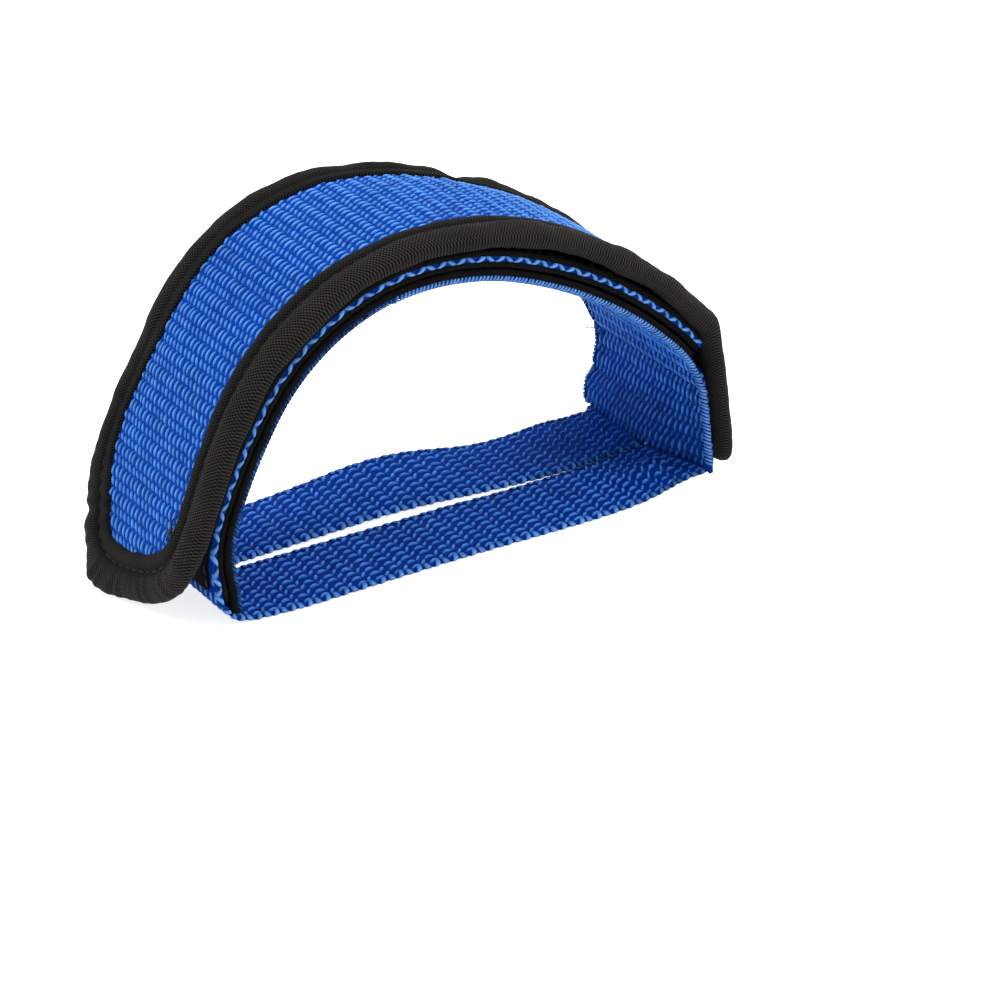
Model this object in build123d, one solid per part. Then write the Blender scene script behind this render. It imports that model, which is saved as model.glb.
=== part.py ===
from build123d import *
import math
import os

# A hook-and-loop foot strap for a pedal, closed round its D-shaped passage.
# X runs along the strap from the flap's tip to its sewn root, Y across the webbing, Z up.
# Every layer is a ribbon of even thickness that follows a path in the XZ plane.
# Millimetres and degrees.

# ---------------------------------------------------------------- driving dimensions

# The arch: inner face of the inner band, from the left leg over the crown to the right leg.
# The passage's width is taken at the top of the right leg, which leans out below it.
passage_width = 138.0
crown_height = 74.3
crown_from_left = 56.0
left_leg_height = 15.0
left_crown_turn = 58.0
left_shoulder_turn = 14.0
left_shoulder_radius = 130.0
right_leg_height = 20.0
right_leg_lean = 8.0
right_crown_turn = 20.0
right_shoulder_turn = 26.0
right_shoulder_radius = 128.0

# The flap closes down on its root at the right with a tighter corner of its own.
flap_corner_height = 42.5
flap_crown_turn = 20.0
flap_shoulder_turn = 28.0
flap_shoulder_radius = 125.0

# Widths, across the strap.
band_width = 50.0
strap_gap = 1.0
flap_width = 55.0
binding_lap = 10.5
tape_margin = 0.6

# Thicknesses of the woven layers.
webbing_thickness = 1.6
loop_thickness = 1.3
hook_thickness = 1.2
binding_thickness = 0.8

# Free spaces between layers that grip or lie over each other.
nap_clearance = 0.8
flap_clearance = 1.2
end_clearance = 0.4

# The two straps under the passage.
corner_bend_radius = 5.0
sewn_bend_radius = 1.0
sewn_strap_length = 27.0

# Where layers end.
wrap_hinge_rise = 0.5
wrap_tape_rise = 1.0
wrap_end_setback = 33.5
wrap_loop_setback = 5.0
band_tape_setback = 33.5
tip_floor_clearance = 1.0
tip_corner_radius = 20.0
foot_floor_clearance = 4.0
foot_lap = 7.5

# Stitching.
thread_width = 0.5
thread_rise = 0.2
stitch_length = 2.2
stitch_pitch = 3.2
tape_stitch_inset = 2.0
binding_stitch_inset = 7.0
sewn_row_height = 12.5
sewn_row_spacing = 9.5
sewn_row_inset = 4.5
hinge_above_rows = 3.0


# ---------------------------------------------------------------- paths and ribbons

class Path:
    """Tangent straight runs and arcs in XZ, traced clockwise as seen from the front.

    Each run is (length, turn): a turn of 0 is straight, and more turns it clockwise.
    Offsets count outward, to the left of the travel.
    """

    def __init__(self, start, heading, runs):
        self.start = start
        self.heading = heading
        self.runs = [run for run in runs if run[0] > 1e-6]

    def length(self):
        return sum(length for length, turn in self.runs)

    def knots(self):
        """Place and heading at the start of each run and at the end of the last."""
        x, z = self.start
        heading = self.heading
        knots = [(x, z, heading)]
        for length, turn in self.runs:
            x, z = advance(x, z, heading, length, turn)
            heading -= turn
            knots.append((x, z, heading))
        return knots

    def at(self, distance, offset=0.0):
        """X, Z and heading at a distance along the path."""
        x, z, heading = self.knots()[0]
        left = distance
        for length, turn in self.runs:
            step = min(left, length)
            x, z = advance(x, z, heading, step, turn * step / length)
            heading -= turn * step / length
            left -= step
            if left <= 0:
                break
        angle = math.radians(heading)
        return x - offset * math.sin(angle), z + offset * math.cos(angle), heading

    def cut(self, first, last):
        """The stretch between two distances along the path."""
        x, z, heading = self.at(first)
        runs = []
        done = 0.0
        for length, turn in self.runs:
            low = max(first, done)
            high = min(last, done + length)
            if high > low:
                runs.append((high - low, turn * (high - low) / length))
            done += length
        return Path((x, z), heading, runs)

    def moved_out(self, offset):
        """The parallel path at an offset."""
        x, z, heading = self.at(0, offset)
        runs = [(length + math.radians(turn) * offset, turn) for length, turn in self.runs]
        return Path((x, z), heading, runs)


def advance(x, z, heading, length, turn):
    """Next point after a run that starts at x, z."""
    chord_heading = math.radians(heading - turn / 2)
    half = math.radians(turn) / 2
    chord = length if abs(half) < 1e-9 else length * math.sin(half) / half
    return x + chord * math.cos(chord_heading), z + chord * math.sin(chord_heading)


def side_edges(path, offset, y):
    """Edges of the path at one offset, in order of travel."""
    edges = []
    done = 0.0
    for length, turn in path.runs:
        places = [path.at(done + length * share, offset)[:2] for share in (0.0, 0.5, 1.0)]
        points = [Vector(x, y, z) for x, z in places]
        if abs(turn) < 1e-9:
            edges.append(Edge.make_line(points[0], points[2]))
        else:
            edges.append(Edge.make_three_point_arc(*points))
        done += length
    return edges


def ribbon(path, inner, outer, y_low, y_high):
    """A band between two offsets of the path and two places across."""
    outside = side_edges(path, outer, y_low)
    inside = side_edges(path, inner, y_low)
    start_cap = Edge.make_line(inside[0] @ 0, outside[0] @ 0)
    end_cap = Edge.make_line(outside[-1] @ 1, inside[-1] @ 1)
    face = Face(Wire(outside + [end_cap] + inside + [start_cap]))
    return extrude(face, amount=y_high - y_low, dir=(0, 1, 0))


def three_arcs(span, rise, crown_turn, shoulder_turn, shoulder_radius, whole_turn):
    """Crown and corner radii that make three tangent arcs cover the span and the rise."""
    a = math.radians(crown_turn)
    b = math.radians(crown_turn + shoulder_turn)
    c = math.radians(whole_turn)
    along = span - shoulder_radius * (math.sin(b) - math.sin(a))
    down = rise - shoulder_radius * (math.cos(a) - math.cos(b))
    crown_x, corner_x = math.sin(a), math.sin(c) - math.sin(b)
    crown_z, corner_z = 1 - math.cos(a), math.cos(b) - math.cos(c)
    scale = crown_x * corner_z - corner_x * crown_z
    crown_radius = (along * corner_z - corner_x * down) / scale
    corner_radius = (crown_x * down - crown_z * along) / scale
    return crown_radius, corner_radius


def arc(radius, turn):
    return (radius * math.radians(turn), turn)


# ---------------------------------------------------------------- the layers' offsets

half_band = band_width / 2
lean = math.radians(right_leg_lean)

band_loop_out = webbing_thickness + loop_thickness
wrap_hook_in = band_loop_out + nap_clearance
wrap_webbing_in = wrap_hook_in + hook_thickness
wrap_webbing_out = wrap_webbing_in + webbing_thickness
wrap_loop_out = wrap_webbing_out + loop_thickness
flap_offset = wrap_loop_out + flap_clearance

# Offsets inside the flap, from its underside.
flap_hook_in = binding_thickness
flap_webbing_in = flap_hook_in + hook_thickness
flap_webbing_out = flap_webbing_in + webbing_thickness
flap_thickness = flap_webbing_out + binding_thickness


# ---------------------------------------------------------------- the arch path

strap_top = webbing_thickness
corner_centre_x = corner_bend_radius - wrap_webbing_in
corner_centre_z = strap_top + corner_bend_radius

# The inner band's left end stands just over the strap where it starts to bend up.
bend_reach = corner_centre_x + band_loop_out
bend_drop = math.sqrt(corner_bend_radius ** 2 - bend_reach ** 2)
band_left_end = corner_centre_z - bend_drop + end_clearance

# Its right end stands where the straps' sewn ends turn up beside its outer face.
sewn_bend_top = strap_top + sewn_bend_radius * (1 + math.sin(lean))
band_right_end = sewn_bend_top - webbing_thickness * math.sin(lean)

left_turns = (left_crown_turn, left_shoulder_turn, 90 - left_crown_turn - left_shoulder_turn)
left_crown_radius, left_corner_radius = three_arcs(
    crown_from_left, crown_height - left_leg_height,
    left_crown_turn, left_shoulder_turn, left_shoulder_radius, 90)
left_runs = [
    arc(left_corner_radius, left_turns[2]),
    arc(left_shoulder_radius, left_turns[1]),
    arc(left_crown_radius, left_turns[0])]

right_whole_turn = 90 - right_leg_lean
right_crown_radius, right_corner_radius = three_arcs(
    passage_width - crown_from_left, crown_height - right_leg_height,
    right_crown_turn, right_shoulder_turn, right_shoulder_radius, right_whole_turn)
right_corner_turn = right_whole_turn - right_crown_turn - right_shoulder_turn
right_leg_length = (right_leg_height - band_right_end) / math.cos(lean)
right_runs = [
    arc(right_crown_radius, right_crown_turn),
    arc(right_shoulder_radius, right_shoulder_turn),
    arc(right_corner_radius, right_corner_turn),
    (right_leg_length, 0)]

arch = Path((0, band_left_end), 90, [(left_leg_height - band_left_end, 0)] + left_runs + right_runs)
arch_length = arch.length()

# ---------------------------------------------------------------- the straps' path

# From the sewn ends down beside the inner band, under the passage and up to the hinge.
sewn_part = arch.cut(arch_length - sewn_strap_length, arch_length)
sewn_part = sewn_part.moved_out(webbing_thickness)
sewn_end_x = sewn_part.at(sewn_part.length())[0]
sewn_centre_x = sewn_end_x - sewn_bend_radius * math.cos(lean)
wrap_hinge_z = corner_centre_z + wrap_hinge_rise
strap_path = Path(sewn_part.start, sewn_part.heading, sewn_part.runs + [
    arc(sewn_bend_radius, 90 + right_leg_lean),
    (sewn_centre_x - corner_centre_x, 0),
    arc(corner_bend_radius, 90),
    (wrap_hinge_rise, 0)])

# The wrap goes on from the hinge over the arch.
wrap_start = wrap_hinge_z - band_left_end
wrap_path = arch.cut(wrap_start, arch_length - wrap_end_setback)
wrap_hook_path = wrap_path.cut(wrap_tape_rise, wrap_path.length())
wrap_loop_path = wrap_path.cut(wrap_tape_rise, wrap_path.length() - wrap_loop_setback)
band_tape_path = arch.cut(0, arch_length - band_tape_setback)

# ---------------------------------------------------------------- the flap's path

# Its left side runs parallel to the arch. Its right leg lies on the sewn straps.
flap_root_offset = 2 * webbing_thickness
flap_leg_x = passage_width + flap_root_offset / math.cos(lean)
flap_corner_x = flap_leg_x - (flap_corner_height - right_leg_height) * math.tan(lean)
flap_crown_height = crown_height + flap_offset
flap_crown_radius, flap_corner_radius = three_arcs(
    flap_corner_x - crown_from_left, flap_crown_height - flap_corner_height,
    flap_crown_turn, flap_shoulder_turn, flap_shoulder_radius, right_whole_turn)
flap_leg_length = (flap_corner_height - foot_floor_clearance) / math.cos(lean)
flap_path = Path((-flap_offset, tip_floor_clearance), 90, [
    (left_leg_height - tip_floor_clearance, 0),
    arc(left_corner_radius + flap_offset, left_turns[2]),
    arc(left_shoulder_radius + flap_offset, left_turns[1]),
    arc(left_crown_radius + flap_offset, left_turns[0]),
    arc(flap_crown_radius, flap_crown_turn),
    arc(flap_shoulder_radius, flap_shoulder_turn),
    arc(flap_corner_radius, right_whole_turn - flap_crown_turn - flap_shoulder_turn),
    (flap_leg_length, 0)])
flap_length = flap_path.length()

# The flap bends at a line across it, just above the upper row of the sewn box.
flap_hinge_z = sewn_row_height + sewn_row_spacing + hinge_above_rows
foot_length = (flap_hinge_z - foot_floor_clearance) / math.cos(lean)
flap_hinge_at = flap_length - foot_length


# ---------------------------------------------------------------- builders

def tip_waste(inset):
    """What the rounded tip's outline leaves out, inset from the flap's outer edge."""
    half = flap_width / 2 - inset
    bottom = tip_floor_clearance + inset
    radius = max(tip_corner_radius - inset, thread_width)
    blank_half = flap_width
    x_low = -flap_offset - 2 * flap_thickness
    x_high = 0
    outline = Plane.YZ * Pos(0, bottom + crown_height / 2) * Rectangle(2 * half, crown_height)
    low_corners = outline.vertices().group_by(Axis.Z)[0]
    outline = fillet(low_corners, radius)
    blank_top = bottom + radius + inset
    blank = Plane.YZ * Pos(0, 0) * Rectangle(2 * blank_half, 2 * blank_top)
    waste = blank - outline
    return Pos(x_low, 0, 0) * extrude(waste, amount=x_high - x_low, dir=(1, 0, 0))


def flap_layer(first, last, inner, outer, inset):
    """One layer of the flap between two distances along it, inset from its edges."""
    half = flap_width / 2 - inset
    layer = ribbon(flap_path.cut(first, last), inner, outer, -half, half)
    if first < tip_corner_radius:
        layer = layer - tip_waste(inset)
    return layer


def flap_edge(first, last, end_inset):
    """The folded binding along a stretch of the flap."""
    core = flap_layer(0, flap_length - binding_thickness, flap_hook_in, flap_webbing_out, binding_thickness)
    window = flap_layer(
        0, flap_length - end_inset, -flap_thickness, 2 * flap_thickness, binding_lap)
    return flap_layer(first, last, 0, flap_thickness, 0) - core - window


def flap_thread(first, last, end_inset):
    """The line of stitching that holds the binding, on the flap's outer face."""
    top = flap_thickness + thread_rise
    line = flap_layer(first, last, flap_thickness, top, binding_stitch_inset)
    hole_inset = binding_stitch_inset + thread_width
    return line - flap_layer(0, flap_length - end_inset, 0, 2 * top, hole_inset)


def stitch(path, distance, inner, outer, y, across):
    """One float of thread that lies on a layer's outer or inner face."""
    run, width = (thread_width, stitch_length) if across else (stitch_length, thread_width)
    stretch = path.cut(distance - run / 2, distance + run / 2)
    return ribbon(stretch, inner, outer, y - width / 2, y + width / 2)


def evenly(low, high):
    """Places a stitch pitch apart, centred between two ends."""
    count = int((high - low) / stitch_pitch)
    start = (low + high - count * stitch_pitch) / 2
    return [start + number * stitch_pitch for number in range(count + 1)]


def sewn_rows(path, rows, inner, outer, half, sides):
    """Rows of stitches across a path, and the two rows that join them at the sides."""
    threads = []
    for distance in rows:
        threads += [stitch(path, distance, inner, outer, y, True) for y in evenly(-half, half)]
    if sides:
        middle = evenly(rows[0] + stitch_pitch, rows[1] - stitch_pitch)
        for y in (-half, half):
            threads += [stitch(path, distance, inner, outer, y, False) for distance in middle]
    return Compound(threads)


def thread_line(path, inner, outer, places):
    """Lines of thread along a path at each place across it."""
    lines = [ribbon(path, inner, outer, y - thread_width / 2, y + thread_width / 2) for y in places]
    return Compound(lines)


# ---------------------------------------------------------------- the pieces

tape_half = half_band - tape_margin
tape_rows = tape_half - tape_stitch_inset
strap_rows = strap_gap / 2 + tape_stitch_inset

nodes = {}

# The inner band: webbing inside, loop tape sewn on its outer face.
nodes["inner_band_webbing"] = ribbon(arch, 0, webbing_thickness, -half_band, half_band)
nodes["inner_band_loop_tape"] = ribbon(
    band_tape_path, webbing_thickness, band_loop_out, -tape_half, tape_half)
nodes["inner_band_stitching"] = thread_line(
    band_tape_path, -thread_rise, 0, (-tape_rows, tape_rows))

# Two narrow straps side by side: under the passage, then over the arch as the wrap.
for name, side in (("front", -1), ("rear", 1)):
    edges_y = sorted((side * strap_gap / 2, side * half_band))
    nodes[name + "_strap"] = ribbon(strap_path, 0, webbing_thickness, *edges_y)
    nodes[name + "_wrap_strap"] = ribbon(wrap_path, wrap_webbing_in, wrap_webbing_out, *edges_y)
nodes["wrap_hook_tape"] = ribbon(
    wrap_hook_path, wrap_hook_in, wrap_webbing_in, -tape_half, tape_half)
nodes["wrap_loop_tape"] = ribbon(
    wrap_loop_path, wrap_webbing_out, wrap_loop_out, -tape_half, tape_half)
nodes["wrap_stitching"] = thread_line(
    wrap_loop_path, wrap_loop_out, wrap_loop_out + thread_rise,
    (-tape_rows, -strap_rows, strap_rows, tape_rows))

# The flap: hook tape and webbing back to back, bound all round, sewn down at its foot.
for prefix, first, last in (("flap", 0, flap_hinge_at), ("flap_foot", flap_hinge_at, flap_length)):
    core_last = min(last, flap_length - binding_thickness)
    line_last = min(last, flap_length - foot_lap / 2)
    nodes[prefix + "_webbing"] = flap_layer(
        first, core_last, flap_webbing_in, flap_webbing_out, binding_thickness)
    nodes[prefix + "_hook_tape"] = flap_layer(
        first, core_last, flap_hook_in, flap_webbing_in, binding_thickness)
    nodes[prefix + "_binding"] = flap_edge(first, last, foot_lap)
    nodes[prefix + "_binding_stitching"] = flap_thread(
        first, line_last, foot_lap / 2 + thread_width)

# The box of stitching at the right that joins band, straps and flap.
row_rises = [sewn_row_height + sewn_row_spacing, sewn_row_height]
band_rows = [arch_length - (rise - band_right_end) / math.cos(lean) for rise in row_rises]
foot_rows = [flap_length - (rise - foot_floor_clearance) / math.cos(lean) for rise in row_rises]
box_half = half_band - sewn_row_inset
foot_half = flap_width / 2 - binding_lap - sewn_row_inset / 2
nodes["sewn_box_inner_stitching"] = sewn_rows(arch, band_rows, -thread_rise, 0, box_half, True)
nodes["sewn_box_outer_stitching"] = sewn_rows(
    flap_path, foot_rows, flap_webbing_out, flap_webbing_out + thread_rise, foot_half, False)

# ---------------------------------------------------------------- the frame and the files

# The origin is on the floor, under the middle of the closed strap.
boxes = [piece.bounding_box() for piece in nodes.values()]
low_x = min(box.min.X for box in boxes)
high_x = max(box.max.X for box in boxes)
centre_x = (low_x + high_x) / 2
place = Pos(-centre_x, 0, 0)

os.makedirs("parts", exist_ok=True)
for name, piece in nodes.items():
    export_step(place * piece, "parts/" + name + ".step")

hinge_out = flap_path.at(flap_hinge_at, flap_thickness + thread_rise)
print("length over all", high_x - low_x)
print("radii, left crown and corner", left_crown_radius, left_corner_radius)
print("radii, right crown and corner", right_crown_radius, right_corner_radius)
print("radii, flap crown and corner", flap_crown_radius, flap_corner_radius)
print("flap hinge", hinge_out[0] - centre_x, hinge_out[1])
print("wrap hinge", -wrap_webbing_out - centre_x, wrap_hinge_z)
print("lengths, band, wrap, straps, flap",
      arch_length, wrap_path.length(), strap_path.length(), flap_length)
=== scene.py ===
# %% [markdown]
# A foot strap, made in Blender from the inside out.
# The real thing is a short closed loop of blue webbing for a pedal. A wide inner band stands as an
# arch, two narrow straps run under the foot and then wrap up over the arch, and a bound flap
# closes over everything with hook-and-loop tape.
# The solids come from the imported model. This file lays real yarns, tapes and threads over them.

# %% Load the solids
import math

import bpy
import numpy as np
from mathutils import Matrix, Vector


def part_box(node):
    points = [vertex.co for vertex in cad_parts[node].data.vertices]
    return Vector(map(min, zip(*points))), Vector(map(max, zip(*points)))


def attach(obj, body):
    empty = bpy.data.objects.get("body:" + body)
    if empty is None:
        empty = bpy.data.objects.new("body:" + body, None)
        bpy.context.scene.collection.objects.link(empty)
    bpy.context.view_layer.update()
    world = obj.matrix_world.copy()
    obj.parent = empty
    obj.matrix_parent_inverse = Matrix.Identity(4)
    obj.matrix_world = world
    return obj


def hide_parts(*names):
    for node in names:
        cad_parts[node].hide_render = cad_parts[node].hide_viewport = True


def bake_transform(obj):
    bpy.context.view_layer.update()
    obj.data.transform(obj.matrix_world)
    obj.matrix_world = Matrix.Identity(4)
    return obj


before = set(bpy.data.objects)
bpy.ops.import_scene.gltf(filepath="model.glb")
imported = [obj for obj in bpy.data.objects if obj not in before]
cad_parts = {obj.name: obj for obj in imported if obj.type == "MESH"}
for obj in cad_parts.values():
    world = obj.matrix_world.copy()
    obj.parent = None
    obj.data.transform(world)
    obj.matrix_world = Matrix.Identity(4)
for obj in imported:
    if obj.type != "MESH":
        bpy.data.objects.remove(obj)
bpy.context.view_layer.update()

# %% [markdown]
# Blender works in metres, but webbing is thought about in millimetres.
# So every measure below is in millimetres, and one factor brings it into the scene at the end.

# %% Units
MM = 0.001


def mix(a, b, share):
    """A value part of the way from a to b."""
    return a + (b - a) * share


def smooth(x, low, high):
    """0 below low, 1 above high, and an even rise between them."""
    t = np.clip((np.asarray(x, float) - low) / (high - low), 0, 1)
    return t * t * (3 - 2 * t)


def bump(x, centre, reach):
    """1 at the centre, 0 beyond the reach on either side."""
    return 1 - smooth(np.abs(np.asarray(x, float) - centre), 0, reach)


# %% [markdown]
# Every layer of the strap is a ribbon that follows a line of straight runs and arcs.
# The line is kept as data, and one function turns "so far along, so far across, so far out" into a
# place. Each layer can then be drawn flat, as on a cutting table, and laid on the arch afterwards.

# %% The line that a layer follows
class Line:
    """Straight runs and arcs in XZ, traced clockwise. Each run is (length, turn in degrees)."""

    def __init__(self, start, heading, runs):
        self.runs = [run for run in runs if run[0] > 1e-6]
        self.lengths = np.array([length for length, turn in self.runs])
        self.turns = np.array([turn for length, turn in self.runs], float)
        self.begins = np.concatenate([[0.0], np.cumsum(self.lengths)[:-1]])
        self.length = float(self.lengths.sum())
        self.headings = heading - np.concatenate([[0.0], np.cumsum(self.turns)[:-1]])
        places = [start]
        for (length, turn), facing in zip(self.runs, self.headings):
            places.append(advance(*places[-1], facing, length, turn))
        self.xs = np.array([x for x, z in places])
        self.zs = np.array([z for x, z in places])

    def at(self, along, out=0.0):
        """X, Z and heading at each distance along, at an offset out from the line."""
        along = np.asarray(along, float)
        run = np.searchsorted(self.begins, along, side="right") - 1
        run = np.clip(run, 0, len(self.runs) - 1)
        step = along - self.begins[run]
        turned = self.turns[run] * step / self.lengths[run]
        x, z = advance(self.xs[run], self.zs[run], self.headings[run], step, turned)
        facing = np.radians(self.headings[run] - turned)
        return x - out * np.sin(facing), z + out * np.cos(facing), facing

    def cut(self, first, last):
        """The stretch between two distances along the line."""
        x, z, facing = self.at(first)
        runs = []
        for begin, (length, turn) in zip(self.begins, self.runs):
            low = max(first, begin)
            high = min(last, begin + length)
            if high > low:
                runs.append((high - low, turn * (high - low) / length))
        return Line((float(x), float(z)), math.degrees(float(facing)), runs)

    def moved_out(self, out):
        """The parallel line at an offset."""
        x, z, facing = self.at(0.0, out)
        runs = [(length + math.radians(turn) * out, turn) for length, turn in self.runs]
        return Line((float(x), float(z)), math.degrees(float(facing)), runs)


def advance(x, z, heading, length, turn):
    """Next point after a run from x, z."""
    half = np.radians(turn) / 2
    chord = length * np.sinc(half / np.pi)
    middle = np.radians(heading) - half
    return x + chord * np.cos(middle), z + chord * np.sin(middle)


def arc(radius, turn):
    """One run of a line, as an arc with this radius."""
    return (radius * math.radians(turn), turn)


# %% [markdown]
# The arch is three tangent arcs on each side of the crown. Two of the radii follow from the span
# and the rise, so the arch closes exactly. These are the same sums as in the part's own source.

# %% Solving the two free radii
def three_arcs(span, rise, crown_turn, shoulder_turn, shoulder_radius, whole_turn):
    """Crown and corner radii that make three arcs cover the span and the rise."""
    a = math.radians(crown_turn)
    b = math.radians(crown_turn + shoulder_turn)
    c = math.radians(whole_turn)
    along = span - shoulder_radius * (math.sin(b) - math.sin(a))
    down = rise - shoulder_radius * (math.cos(a) - math.cos(b))
    crown_x, corner_x = math.sin(a), math.sin(c) - math.sin(b)
    crown_z, corner_z = 1 - math.cos(a), math.cos(b) - math.cos(c)
    scale = crown_x * corner_z - corner_x * crown_z
    return (along * corner_z - corner_x * down) / scale, (crown_x * down - crown_z * along) / scale


# %% Thicknesses and offsets of the layers
WEBBING = 1.6
LOOP_TAPE = 1.3
HOOK_TAPE = 1.2
BINDING = 0.8
BAND_WIDTH = 50.0
HALF_BAND = BAND_WIDTH / 2
FLAP_WIDTH = 55.0
HALF_FLAP = FLAP_WIDTH / 2
STRAP_GAP = 1.0
TAPE_HALF = HALF_BAND - 0.6

INNER_NAP = 0.8
OUTER_NAP = 1.2
BAND_TAPE_OUT = WEBBING + LOOP_TAPE
WRAP_HOOK_IN = BAND_TAPE_OUT + INNER_NAP
WRAP_IN = WRAP_HOOK_IN + HOOK_TAPE
WRAP_OUT = WRAP_IN + WEBBING
WRAP_TAPE_OUT = WRAP_OUT + LOOP_TAPE
FLAP_IN = WRAP_TAPE_OUT + OUTER_NAP

FLAP_HOOK_IN = BINDING
FLAP_WEB_IN = FLAP_HOOK_IN + HOOK_TAPE
FLAP_WEB_OUT = FLAP_WEB_IN + WEBBING
FLAP_THICK = FLAP_WEB_OUT + BINDING

# %% The arch and the flap as lines
PASSAGE = 138.0
CROWN = 74.3
CROWN_FROM_LEFT = 56.0
LEFT_LEG = 15.0
LEFT_TURNS = (58.0, 14.0, 18.0)
LEFT_SHOULDER = 130.0
RIGHT_CROWN_TURN = 20.0
RIGHT_LEG = 20.0
LEAN_DEG = 8.0
LEAN = math.radians(LEAN_DEG)
WHOLE_TURN = 90 - LEAN_DEG

CORNER_BEND = 5.0
SEWN_BEND = 1.0
corner_x = CORNER_BEND - WRAP_IN
corner_z = WEBBING + CORNER_BEND
bend_drop = math.sqrt(CORNER_BEND ** 2 - (corner_x + BAND_TAPE_OUT) ** 2)
band_low_left = corner_z - bend_drop + 0.4
sewn_bend_top = WEBBING + SEWN_BEND * (1 + math.sin(LEAN))
band_low_right = sewn_bend_top - WEBBING * math.sin(LEAN)

left_crown, left_corner = three_arcs(
    CROWN_FROM_LEFT, CROWN - LEFT_LEG, LEFT_TURNS[0], LEFT_TURNS[1], LEFT_SHOULDER, 90)


def left_arcs(out):
    """Corner, shoulder and crown on the left, at an offset out from the passage."""
    radii = (left_crown, LEFT_SHOULDER, left_corner)
    return [arc(radius + out, turn) for radius, turn in zip(radii, LEFT_TURNS)][::-1]


def right_arcs(span, rise, shoulder_turn, shoulder_radius):
    """Crown, shoulder and corner on the right, down to where the right leg begins."""
    crown, corner = three_arcs(span, rise, RIGHT_CROWN_TURN, shoulder_turn, shoulder_radius, WHOLE_TURN)
    rest = WHOLE_TURN - RIGHT_CROWN_TURN - shoulder_turn
    return [arc(crown, RIGHT_CROWN_TURN), arc(shoulder_radius, shoulder_turn), arc(corner, rest)]


arch = Line(
    (0.0, band_low_left), 90,
    [(LEFT_LEG - band_low_left, 0)] + left_arcs(0.0)
    + right_arcs(PASSAGE - CROWN_FROM_LEFT, CROWN - RIGHT_LEG, 26.0, 128.0)
    + [((RIGHT_LEG - band_low_right) / math.cos(LEAN), 0)])

FLAP_CORNER = 42.5
FLAP_LOW = 1.0
FOOT_LOW = 4.0
flap_leg_x = PASSAGE + 2 * WEBBING / math.cos(LEAN)
flap_corner_x = flap_leg_x - (FLAP_CORNER - RIGHT_LEG) * math.tan(LEAN)
flap_line = Line(
    (-FLAP_IN, FLAP_LOW), 90,
    [(LEFT_LEG - FLAP_LOW, 0)] + left_arcs(FLAP_IN)
    + right_arcs(flap_corner_x - CROWN_FROM_LEFT, CROWN + FLAP_IN - FLAP_CORNER, 28.0, 125.0)
    + [((FLAP_CORNER - FOOT_LOW) / math.cos(LEAN), 0)])
print("arch", round(arch.length, 2), "flap", round(flap_line.length, 2))

# %% The straps as lines
HINGE_RISE = 0.5
WRAP_SETBACK = 33.5
SEWN_LENGTH = 27.0
sewn_line = arch.cut(arch.length - SEWN_LENGTH, arch.length).moved_out(WEBBING)
sewn_x = float(sewn_line.at(sewn_line.length)[0]) - SEWN_BEND * math.cos(LEAN)
wrap_hinge_z = corner_z + HINGE_RISE
wrap_start = wrap_hinge_z - band_low_left
wrap_line = arch.cut(wrap_start, arch.length - WRAP_SETBACK)
bottom_line = Line(
    (sewn_x, WEBBING), 180, [(sewn_x - corner_x, 0), arc(CORNER_BEND, 90), (HINGE_RISE, 0)])
x, z, facing = (float(v) for v in sewn_line.at(0.0))
sewn_end_line = Line((x, z), math.degrees(facing), sewn_line.runs + [arc(SEWN_BEND, 90 + LEAN_DEG)])
print("bottom run", round(bottom_line.length, 2), "wrap", round(wrap_line.length, 2))

# %% [markdown]
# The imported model's origin is on the floor under the middle of the strap, while the lines start at
# the passage's left side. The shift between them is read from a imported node's own box.

# %% From a line to the scene
shift_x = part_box("flap_binding")[0].x / MM + FLAP_IN + FLAP_THICK


def place(line, along, across, out):
    """Points in the frame, in millimetres, from arrays of places on a line."""
    along, across, out = np.broadcast_arrays(along, across, out)
    x, z, facing = line.at(along, out)
    return np.stack([x + shift_x, across, z], -1)


def as_cut(along, across, out):
    """The lie of a layer that stays exactly on its line. Other layers have a lie of their own."""
    return along, across, out


print("shift", round(shift_x, 3))

# %% [markdown]
# A mesh with thousands of small yarns is quickest to build as arrays. This little builder gathers
# batches of points and faces, with three things that the finishes need at every point: how high it
# lies in the weave, which the finishes turn into painted shade low down and a painted highlight on
# top, the yarn's tone, partly random and partly painted shade, and where it is along and across its
# fibres. It also keeps a flat layout of all the faces, so that the finishes can be printed on a map
# later.

# %% Faces of strips and tubes
STRIP_GRID = (7, 5)


def strip_faces(flip):
    """Faces of a closed strip: a grid of points as its top, its two long sides joined below."""
    rows, columns = STRIP_GRID
    index = np.arange(rows * columns).reshape(rows, columns)
    top = np.stack([index[:-1, :-1], index[1:, :-1], index[1:, 1:], index[:-1, 1:]], -1).reshape(-1, 4)
    under = np.stack([index[1:, 0], index[:-1, 0], index[:-1, -1], index[1:, -1]], -1)
    caps = np.stack([index[0], index[-1][::-1]])
    faces = [top, under, caps]
    return [rows[:, ::-1] for rows in faces] if flip else faces


def tube_faces(rows, around, flip=False):
    """Faces of a closed tube: rings of points joined by its sides, and a cap at each end."""
    index = np.arange(rows * around).reshape(rows, around)
    after = np.roll(index, -1, axis=1)
    if flip:
        sides = np.stack([index[:-1], index[1:], after[1:], after[:-1]], -1).reshape(-1, 4)
        return [sides, index[0][None], index[-1][::-1][None]]
    sides = np.stack([index[:-1], after[:-1], after[1:], index[1:]], -1).reshape(-1, 4)
    return [sides, index[0][::-1][None], index[-1][None]]


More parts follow.
